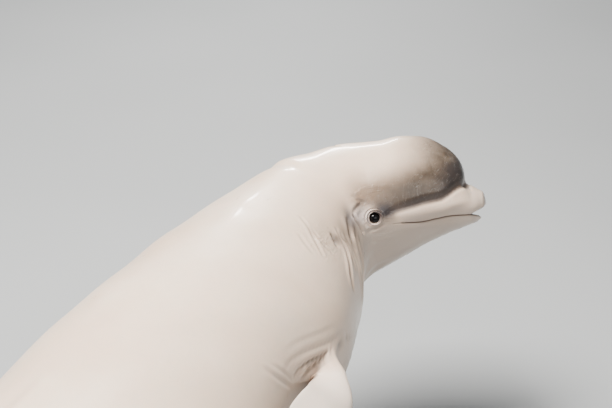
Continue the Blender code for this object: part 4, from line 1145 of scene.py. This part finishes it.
# -------------------------------------------------------------- node helpers
class Graph:
    def __init__(self, name):
        self.mat = bpy.data.materials.new(name)
        self.mat.use_nodes = True
        self.t = self.mat.node_tree
        self.p = self.t.nodes.get('Principled BSDF')
        self.coord = self.t.nodes.new('ShaderNodeTexCoord')

    def node(self, kind, **inputs):
        n = self.t.nodes.new(kind)
        for k, v in inputs.items():
            if k.startswith('_'):
                setattr(n, k[1:], v)
        return n

    def link(self, a, b):
        self.t.links.new(a, b)

    def plug(self, sock, value):
        if hasattr(value, 'links'):
            self.link(value, sock)
        else:
            sock.default_value = value

    def noise(self, scale, detail=3.0, rough=0.55, dist=0.0, stretch=None, kind='FBM'):
        n = self.t.nodes.new('ShaderNodeTexNoise')
        n.inputs['Scale'].default_value = scale
        n.inputs['Detail'].default_value = detail
        n.inputs['Roughness'].default_value = rough
        n.inputs['Distortion'].default_value = dist
        src = self.coord.outputs['Object']
        if stretch:
            m = self.t.nodes.new('ShaderNodeMapping')
            m.inputs['Scale'].default_value = stretch
            if len(stretch) == 3:
                pass
            self.link(src, m.inputs['Vector'])
            src = m.outputs['Vector']
        self.link(src, n.inputs['Vector'])
        return n.outputs['Fac']

    def voronoi(self, scale, feature='F1', rand=1.0, smoothness=None, stretch=None):
        n = self.t.nodes.new('ShaderNodeTexVoronoi')
        n.feature = feature
        n.inputs['Scale'].default_value = scale
        n.inputs['Randomness'].default_value = rand
        src = self.coord.outputs['Object']
        if stretch:
            m = self.t.nodes.new('ShaderNodeMapping')
            m.inputs['Scale'].default_value = stretch
            self.link(src, m.inputs['Vector'])
            src = m.outputs['Vector']
        self.link(src, n.inputs['Vector'])
        return n.outputs['Distance']

    def ramp(self, fac, stops, mode='LINEAR'):
        n = self.t.nodes.new('ShaderNodeValToRGB')
        n.color_ramp.interpolation = mode
        el = n.color_ramp.elements
        while len(el) > 1:
            el.remove(el[-1])
        el[0].position, el[0].color = stops[0][0], self.rgba(stops[0][1])
        for pos, col in stops[1:]:
            e = el.new(pos)
            e.color = self.rgba(col)
        self.link(fac, n.inputs['Fac'])
        return n.outputs['Color']

    @staticmethod
    def rgba(c):
        if isinstance(c, (int, float)):
            return (c, c, c, 1.0)
        return (*c, 1.0)

    def mix(self, fac, a, b, mode='MIX'):
        n = self.t.nodes.new('ShaderNodeMix')
        n.data_type = 'RGBA'
        n.blend_type = mode
        n.clamp_factor = True
        self.plug(n.inputs[0], fac)
        for sock, v in ((n.inputs[6], a), (n.inputs[7], b)):
            if hasattr(v, 'links'):
                self.link(v, sock)
            else:
                sock.default_value = self.rgba(v)
        return n.outputs[2]

    def math(self, op, a, b=None, clamp=False):
        n = self.t.nodes.new('ShaderNodeMath')
        n.operation = op
        n.use_clamp = clamp
        self.plug(n.inputs[0], a)
        if b is not None:
            self.plug(n.inputs[1], b)
        return n.outputs[0]

    def attr(self, name):
        n = self.t.nodes.new('ShaderNodeAttribute')
        n.attribute_name = name
        return n.outputs['Fac']

    def bump(self, height, strength, distance, normal=None):
        n = self.t.nodes.new('ShaderNodeBump')
        n.inputs['Strength'].default_value = strength
        n.inputs['Distance'].default_value = distance
        self.link(height, n.inputs['Height'])
        if normal is not None:
            self.link(normal, n.inputs['Normal'])
        return n.outputs['Normal']


# ------------------------------------------------------------- skin material
g = Graph('skin_white')
base = g.ramp(g.noise(2.6, 4.0, 0.55, 0.4), [(0.30, (0.690, 0.520, 0.395)), (0.55, (0.755, 0.605, 0.480)), (0.75, (0.785, 0.660, 0.545))])
base = g.mix(g.math('MULTIPLY', g.ramp(g.noise(9.0, 4.0, 0.6, 0.6), [(0.42, 0.0), (0.68, 1.0)]), 0.30), base, (0.735, 0.555, 0.445))
base = g.mix(g.math('MULTIPLY', g.ramp(g.noise(46.0, 3.0, 0.6), [(0.45, 0.0), (0.75, 1.0)]), 0.16), base, (0.560, 0.500, 0.440))
# belly a shade cooler
base = g.mix(g.math('MULTIPLY', g.attr('belly'), 0.35), base, (0.640, 0.625, 0.590))
# brown tone and painted shade on the sides of the neck
base = g.mix(g.math('MULTIPLY', g.attr('warm'), 0.55), base, (0.400, 0.295, 0.220))
# painted shade in the neck folds and in the pit behind the jaw
base = g.mix(g.math('MULTIPLY', g.attr('greyback'), 0.95), base, (0.098, 0.076, 0.060))
# grey tone and painted shade on the chin and lower jaw
base = g.mix(g.math('MULTIPLY', g.attr('chin'), 0.45), base, (0.400, 0.360, 0.325))
# melon: grey brown, partly painted shade, broken by noise
m_noise = g.ramp(g.noise(30.0, 4.0, 0.62, 0.5), [(0.30, 0.86), (0.70, 1.0)])
b_noise = g.ramp(g.noise(17.0, 4.0, 0.60, 0.6), [(0.30, 0.80), (0.70, 1.0)])
base = g.mix(g.math('MULTIPLY', g.math('MULTIPLY', g.attr('brow'), b_noise), 0.94), base, (0.175, 0.115, 0.074))
m_fac = g.math('MULTIPLY', g.attr('melon'), m_noise)
base = g.mix(g.math('MULTIPLY', m_fac, 1.0), base, (0.046, 0.033, 0.023))
# dark tone and painted shade over the front of the melon
base = g.mix(g.math('MULTIPLY', g.attr('mfront'), 0.75), base, (0.024, 0.021, 0.023))
v_noise = g.ramp(g.noise(55.0, 4.0, 0.65, 0.4), [(0.25, 0.62), (0.65, 1.0)])
# grey violet with painted shade along the crease and in front of the eye
base = g.mix(g.math('MULTIPLY', g.math('MULTIPLY', g.attr('violet'), v_noise), 0.94), base, (0.034, 0.027, 0.030))
base = g.mix(g.math('MULTIPLY', g.attr('eyefront'), 0.92), base, (0.026, 0.021, 0.024))
base = g.mix(g.math('MULTIPLY', g.attr('eyepatch'), 0.60), base, (0.520, 0.470, 0.475))
# tan lips and beak tip, darkened as painted shade
base = g.mix(g.math('MULTIPLY', g.attr('lips'), 0.60), base, (0.520, 0.425, 0.360))
# pale specks over the melon and in front of the eye
speck = g.ramp(g.voronoi(118.0), [(0.06, 1.0), (0.17, 0.0)])
speck_area = g.ramp(g.noise(31.0, 3.0, 0.7, 0.8), [(0.54, 0.0), (0.66, 1.0)])
speck = g.math('MULTIPLY', g.math('MULTIPLY', speck, speck_area), g.math('MAXIMUM', g.attr('melon'), g.attr('violet')), clamp=True)
base = g.mix(g.math('MULTIPLY', speck, 0.20), base, (0.620, 0.560, 0.490))
# thin pale scratches
scratch = g.ramp(g.noise(7.0, 2.0, 0.5, 2.2, stretch=(1.0, 5.0, 2.2)), [(0.492, 0.0), (0.498, 1.0), (0.504, 0.0)])
base = g.mix(g.math('MULTIPLY', scratch, 0.16), base, (0.820, 0.790, 0.740))
base = g.mix(g.math('MULTIPLY', g.attr('lid'), 0.85, clamp=True), base, (0.470, 0.400, 0.420))
# painted shade on the front inner side of the lid opening
base = g.mix(g.math('MULTIPLY', g.attr('lidshade'), 0.90, clamp=True), base, (0.060, 0.048, 0.052))
base = g.mix(g.math('MULTIPLY', g.attr('fin'), 0.60), base, (0.830, 0.745, 0.665))
# folds hold more shade
base = g.mix(g.math('MULTIPLY', g.attr('cavity'), 0.60, clamp=True), base, (0.150, 0.112, 0.092))
base = g.mix(g.math('MULTIPLY', g.attr('finedge'), 0.30), base, (0.400, 0.360, 0.330))
g.link(base, g.p.inputs['Base Color'])
rough = g.ramp(g.noise(14.0, 4.0, 0.6), [(0.30, 0.26), (0.72, 0.42)])
rough = g.mix(g.math('MULTIPLY', g.ramp(g.noise(160.0, 2.0), [(0.40, 0.0), (0.65, 1.0)]), 0.35), rough, (0.50, 0.50, 0.50))
g.link(rough, g.p.inputs['Roughness'])
g.p.inputs['IOR'].default_value = 1.42
g.p.inputs['Subsurface Weight'].default_value = 0.10
g.p.inputs['Subsurface Radius'].default_value = (0.020, 0.010, 0.006)
g.p.inputs['Subsurface Scale'].default_value = 0.6
shine = g.math('SUBTRACT', 1.0, g.math('MULTIPLY', g.attr('lidshade'), 0.90, clamp=True))
g.link(g.math('MULTIPLY', shine, 0.30), g.p.inputs['Coat Weight'])
g.link(g.math('MULTIPLY', shine, 0.50), g.p.inputs['Specular IOR Level'])
g.p.inputs['Coat Roughness'].default_value = 0.08
fine = g.noise(420.0, 3.0, 0.6)
n1 = g.bump(fine, 0.10, 0.0010)
mid_n = g.noise(70.0, 4.0, 0.6, 0.3)
n2 = g.bump(mid_n, 0.12, 0.0030, n1)
wr = g.math('MULTIPLY', g.noise(26.0, 5.0, 0.65, 1.6, stretch=(1.0, 1.0, 3.2)), g.attr('wrinkle'))
n3 = g.bump(wr, 0.55, 0.0120, n2)
g.link(n3, g.p.inputs['Normal'])
skin.data.materials.append(g.mat)

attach(skin, 'root')
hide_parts('head', 'lower_jaw', 'neck', 'trunk', 'tail_stock', 'fluke_left', 'fluke_right',
            'flipper_left', 'flipper_right')

# ----------------------------------------------------------------------- eyes
for side, eye in EYES.items():
    rows, cols = (40, 64)
    R = EYE_RADIUS
    bm = bmesh.new()
    c, o, a, u = (Vector(eye[k]) for k in ('centre', 'out', 'ahead', 'up'))
    uv_of = {}
    rings = []
    for i in range(1, rows):
        al = math.pi * (i / rows) ** 1.15
        r = R
        # the clear front stands a little proud
        r = R + 0.0009 * math.exp(-(al / 0.42) ** 2)
        rings.append([bm.verts.new(c + (o * math.cos(al) + (a * math.cos(2 * math.pi * j / cols)
                                                           + u * math.sin(2 * math.pi * j / cols)) * math.sin(al)) * r)
                      for j in range(cols)])
    pole_a = bm.verts.new(c + o * (R + 0.0009))
    pole_b = bm.verts.new(c - o * R)
    layer = bm.loops.layers.uv.new('OFBake')

    def put(vs, uvs):
        f = bm.faces.new(vs)
        f.smooth = True
        for lp, uv in zip(f.loops, uvs):
            lp[layer].uv = uv
    nrow = len(rings)
    for i in range(nrow - 1):
        for j in range(cols):
            k = (j + 1) % cols
            put((rings[i][j], rings[i + 1][j], rings[i + 1][k], rings[i][k]),
                ((j / cols, i / nrow), (j / cols, (i + 1) / nrow), ((j + 1) / cols, (i + 1) / nrow), ((j + 1) / cols, i / nrow)))
    for j in range(cols):
        k = (j + 1) % cols
        put((pole_a, rings[0][j], rings[0][k]), ((j / cols, 0), (j / cols, 0.01), ((j + 1) / cols, 0.01)))
        put((pole_b, rings[-1][k], rings[-1][j]), ((j / cols, 1), ((j + 1) / cols, 0.99), (j / cols, 0.99)))
    bmesh.ops.recalc_face_normals(bm, faces=bm.faces)
    me = bpy.data.meshes.new('eyeball_' + eye['label'])
    # local distance from the pupil's middle, as an attribute for the shader
    bm.to_mesh(me)
    bm.free()
    co = np.zeros(len(me.vertices) * 3)
    me.vertices.foreach_get('co', co)
    rel = co.reshape(-1, 3) - eye['centre']
    x, v, w = rel @ eye['ahead'], rel @ eye['up'], rel @ eye['out']
    d = np.where(w > 0, np.hypot(x, v * 1.04), 0.05)
    at = me.attributes.new('pupil', 'FLOAT', 'POINT')
    at.data.foreach_set('value', d.astype(np.float32))
    ob = bpy.data.objects.new('eyeball_' + eye['label'], me)
    bpy.context.scene.collection.objects.link(ob)
    if side > 0:
        ge = Graph('eye_dark')
        d_ = ge.math('MULTIPLY', ge.attr('pupil'), 100.0)
        col = ge.ramp(d_, [(0.0, (0.003, 0.003, 0.004)), (0.80, (0.004, 0.004, 0.005)), (0.90, (0.009, 0.007, 0.006)),
                           (1.0, (0.007, 0.006, 0.006))])
        fibre = ge.ramp(ge.noise(900.0, 3.0, 0.6, 0.5), [(0.35, 0.6), (0.7, 1.0)])
        col = ge.mix(1.0, col, fibre, 'MULTIPLY')
        white = ge.ramp(d_, [(1.28, 0.0), (1.50, 1.0)])
        wm = ge.math('SUBTRACT', ge.math('MULTIPLY', ge.attr('pupil'), 1.0), 0.0148)
        wm = ge.math('MULTIPLY', wm, 500.0, clamp=True)
        vein = ge.ramp(ge.noise(260.0, 4.0, 0.7, 1.0), [(0.40, (0.012, 0.009, 0.010)), (0.65, (0.007, 0.005, 0.006))])
        col = ge.mix(wm, col, vein)
        ge.link(col, ge.p.inputs['Base Color'])
        ge.link(ge.ramp(ge.noise(120.0, 2.0), [(0.3, 0.05), (0.7, 0.11)]), ge.p.inputs['Roughness'])
        ge.p.inputs['Specular IOR Level'].default_value = 0.20
        ge.p.inputs['Coat Weight'].default_value = 0.06
        ge.p.inputs['Coat Roughness'].default_value = 0.05
        EYE_MAT = ge.mat
    me.materials.append(EYE_MAT)
    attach(ob, 'root')
    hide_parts('eye_' + eye['label'])

# ---------------------------------------------------------------------- stand
gs = Graph('stand_board_paint')
c1 = gs.ramp(gs.noise(5.0, 5.0, 0.6), [(0.30, (0.040, 0.042, 0.046)), (0.70, (0.062, 0.064, 0.068))])
c1 = gs.mix(gs.math('MULTIPLY', gs.ramp(gs.noise(300.0, 2.0, 0.5), [(0.45, 0.0), (0.70, 1.0)]), 0.18), c1, (0.115, 0.116, 0.120))
gs.link(c1, gs.p.inputs['Base Color'])
gs.link(gs.ramp(gs.noise(22.0, 4.0, 0.6), [(0.30, 0.38), (0.70, 0.55)]), gs.p.inputs['Roughness'])
gs.link(gs.bump(gs.noise(520.0, 2.0, 0.6), 0.15, 0.0006), gs.p.inputs['Normal'])
gr = Graph('stand_rod_steel')
brush = gr.noise(60.0, 4.0, 0.6, 0.0, stretch=(1.0, 1.0, 40.0))
gr.link(gr.ramp(brush, [(0.25, (0.42, 0.42, 0.43)), (0.75, (0.62, 0.62, 0.63))]), gr.p.inputs['Base Color'])
gr.link(gr.ramp(brush, [(0.25, 0.24), (0.75, 0.38)]), gr.p.inputs['Roughness'])
gr.p.inputs['Metallic'].default_value = 1.0
gr.link(gr.bump(brush, 0.12, 0.0004), gr.p.inputs['Normal'])
for name, mat in (('stand_base', gs.mat), ('stand_rod_front', gr.mat), ('stand_rod_rear', gr.mat)):
    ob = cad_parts[name]
    if not ob.material_slots:
        ob.data.materials.append(mat)
    for sl in ob.material_slots:
        sl.material = mat

# --------------------------------------------------------- floor, light, view
bm = bmesh.new()
bmesh.ops.create_grid(bm, x_segments=2, y_segments=2, size=30.0)
me = bpy.data.meshes.new('floor')
bm.to_mesh(me)
bm.free()
floor = bpy.data.objects.new('floor', me)
floor.location = (0, 0, -0.0005)
bpy.context.scene.collection.objects.link(floor)
gf = Graph('floor_pale')
gf.link(gf.ramp(gf.noise(0.6, 2.0), [(0.3, (0.345, 0.365, 0.380)), (0.7, (0.370, 0.390, 0.405))]), gf.p.inputs['Base Color'])
gf.p.inputs['Roughness'].default_value = 0.7
floor.data.materials.append(gf.mat)

world = bpy.data.worlds.new('studio')
bpy.context.scene.world = world
world.use_nodes = True
bg = world.node_tree.nodes.get('Background')
bg.inputs['Color'].default_value = (0.92, 0.96, 1.0, 1.0)
bg.inputs['Strength'].default_value = 0.16


def area(name, loc, target, size, power, colour=(1, 1, 1)):
    li = bpy.data.lights.new(name, 'AREA')
    li.shape = 'RECTANGLE'
    li.size, li.size_y = size
    li.energy = power
    li.color = colour
    ob = bpy.data.objects.new(name, li)
    ob.location = loc
    d = Vector(target) - Vector(loc)
    ob.rotation_euler = d.to_track_quat('-Z', 'Y').to_euler()
    bpy.context.scene.collection.objects.link(ob)
    return ob


area('sky_key', (-0.4, 1.5, 6.0), (0.5, -0.1, 0.75), (2.6, 2.0), 1290, (1.0, 0.950, 0.89))
area('ridge', (6.3, 2.9, 2.7), (0.9, -0.1, 0.95), (1.3, 0.35), 190, (1.0, 0.97, 0.93))
area('fill', (-2.6, -5.4, 4.4), (0.3, -0.1, 0.7), (6.0, 4.5), 215, (1.0, 0.97, 0.94))

camera = bpy.data.cameras.new('camera')
camera.sensor_fit = 'HORIZONTAL'
camera.sensor_width = 36.0
camera.lens = 76.36
camera.clip_end = 100.0
cam = bpy.data.objects.new('camera', camera)
CAM_AT = Vector((-2.0778, -1.4996, 2.6674))
CAM_FORWARD = Vector((0.79769, 0.38418, -0.46486))
CAM_UP = Vector((0.41882, 0.20171, 0.88538))
right_v = CAM_FORWARD.cross(CAM_UP).normalized()
up_v = right_v.cross(CAM_FORWARD).normalized()
cam.matrix_world = Matrix.Translation(CAM_AT) @ Matrix((right_v, up_v, -CAM_FORWARD)).transposed().to_4x4()
bpy.context.scene.collection.objects.link(cam)
bpy.context.scene.camera = cam
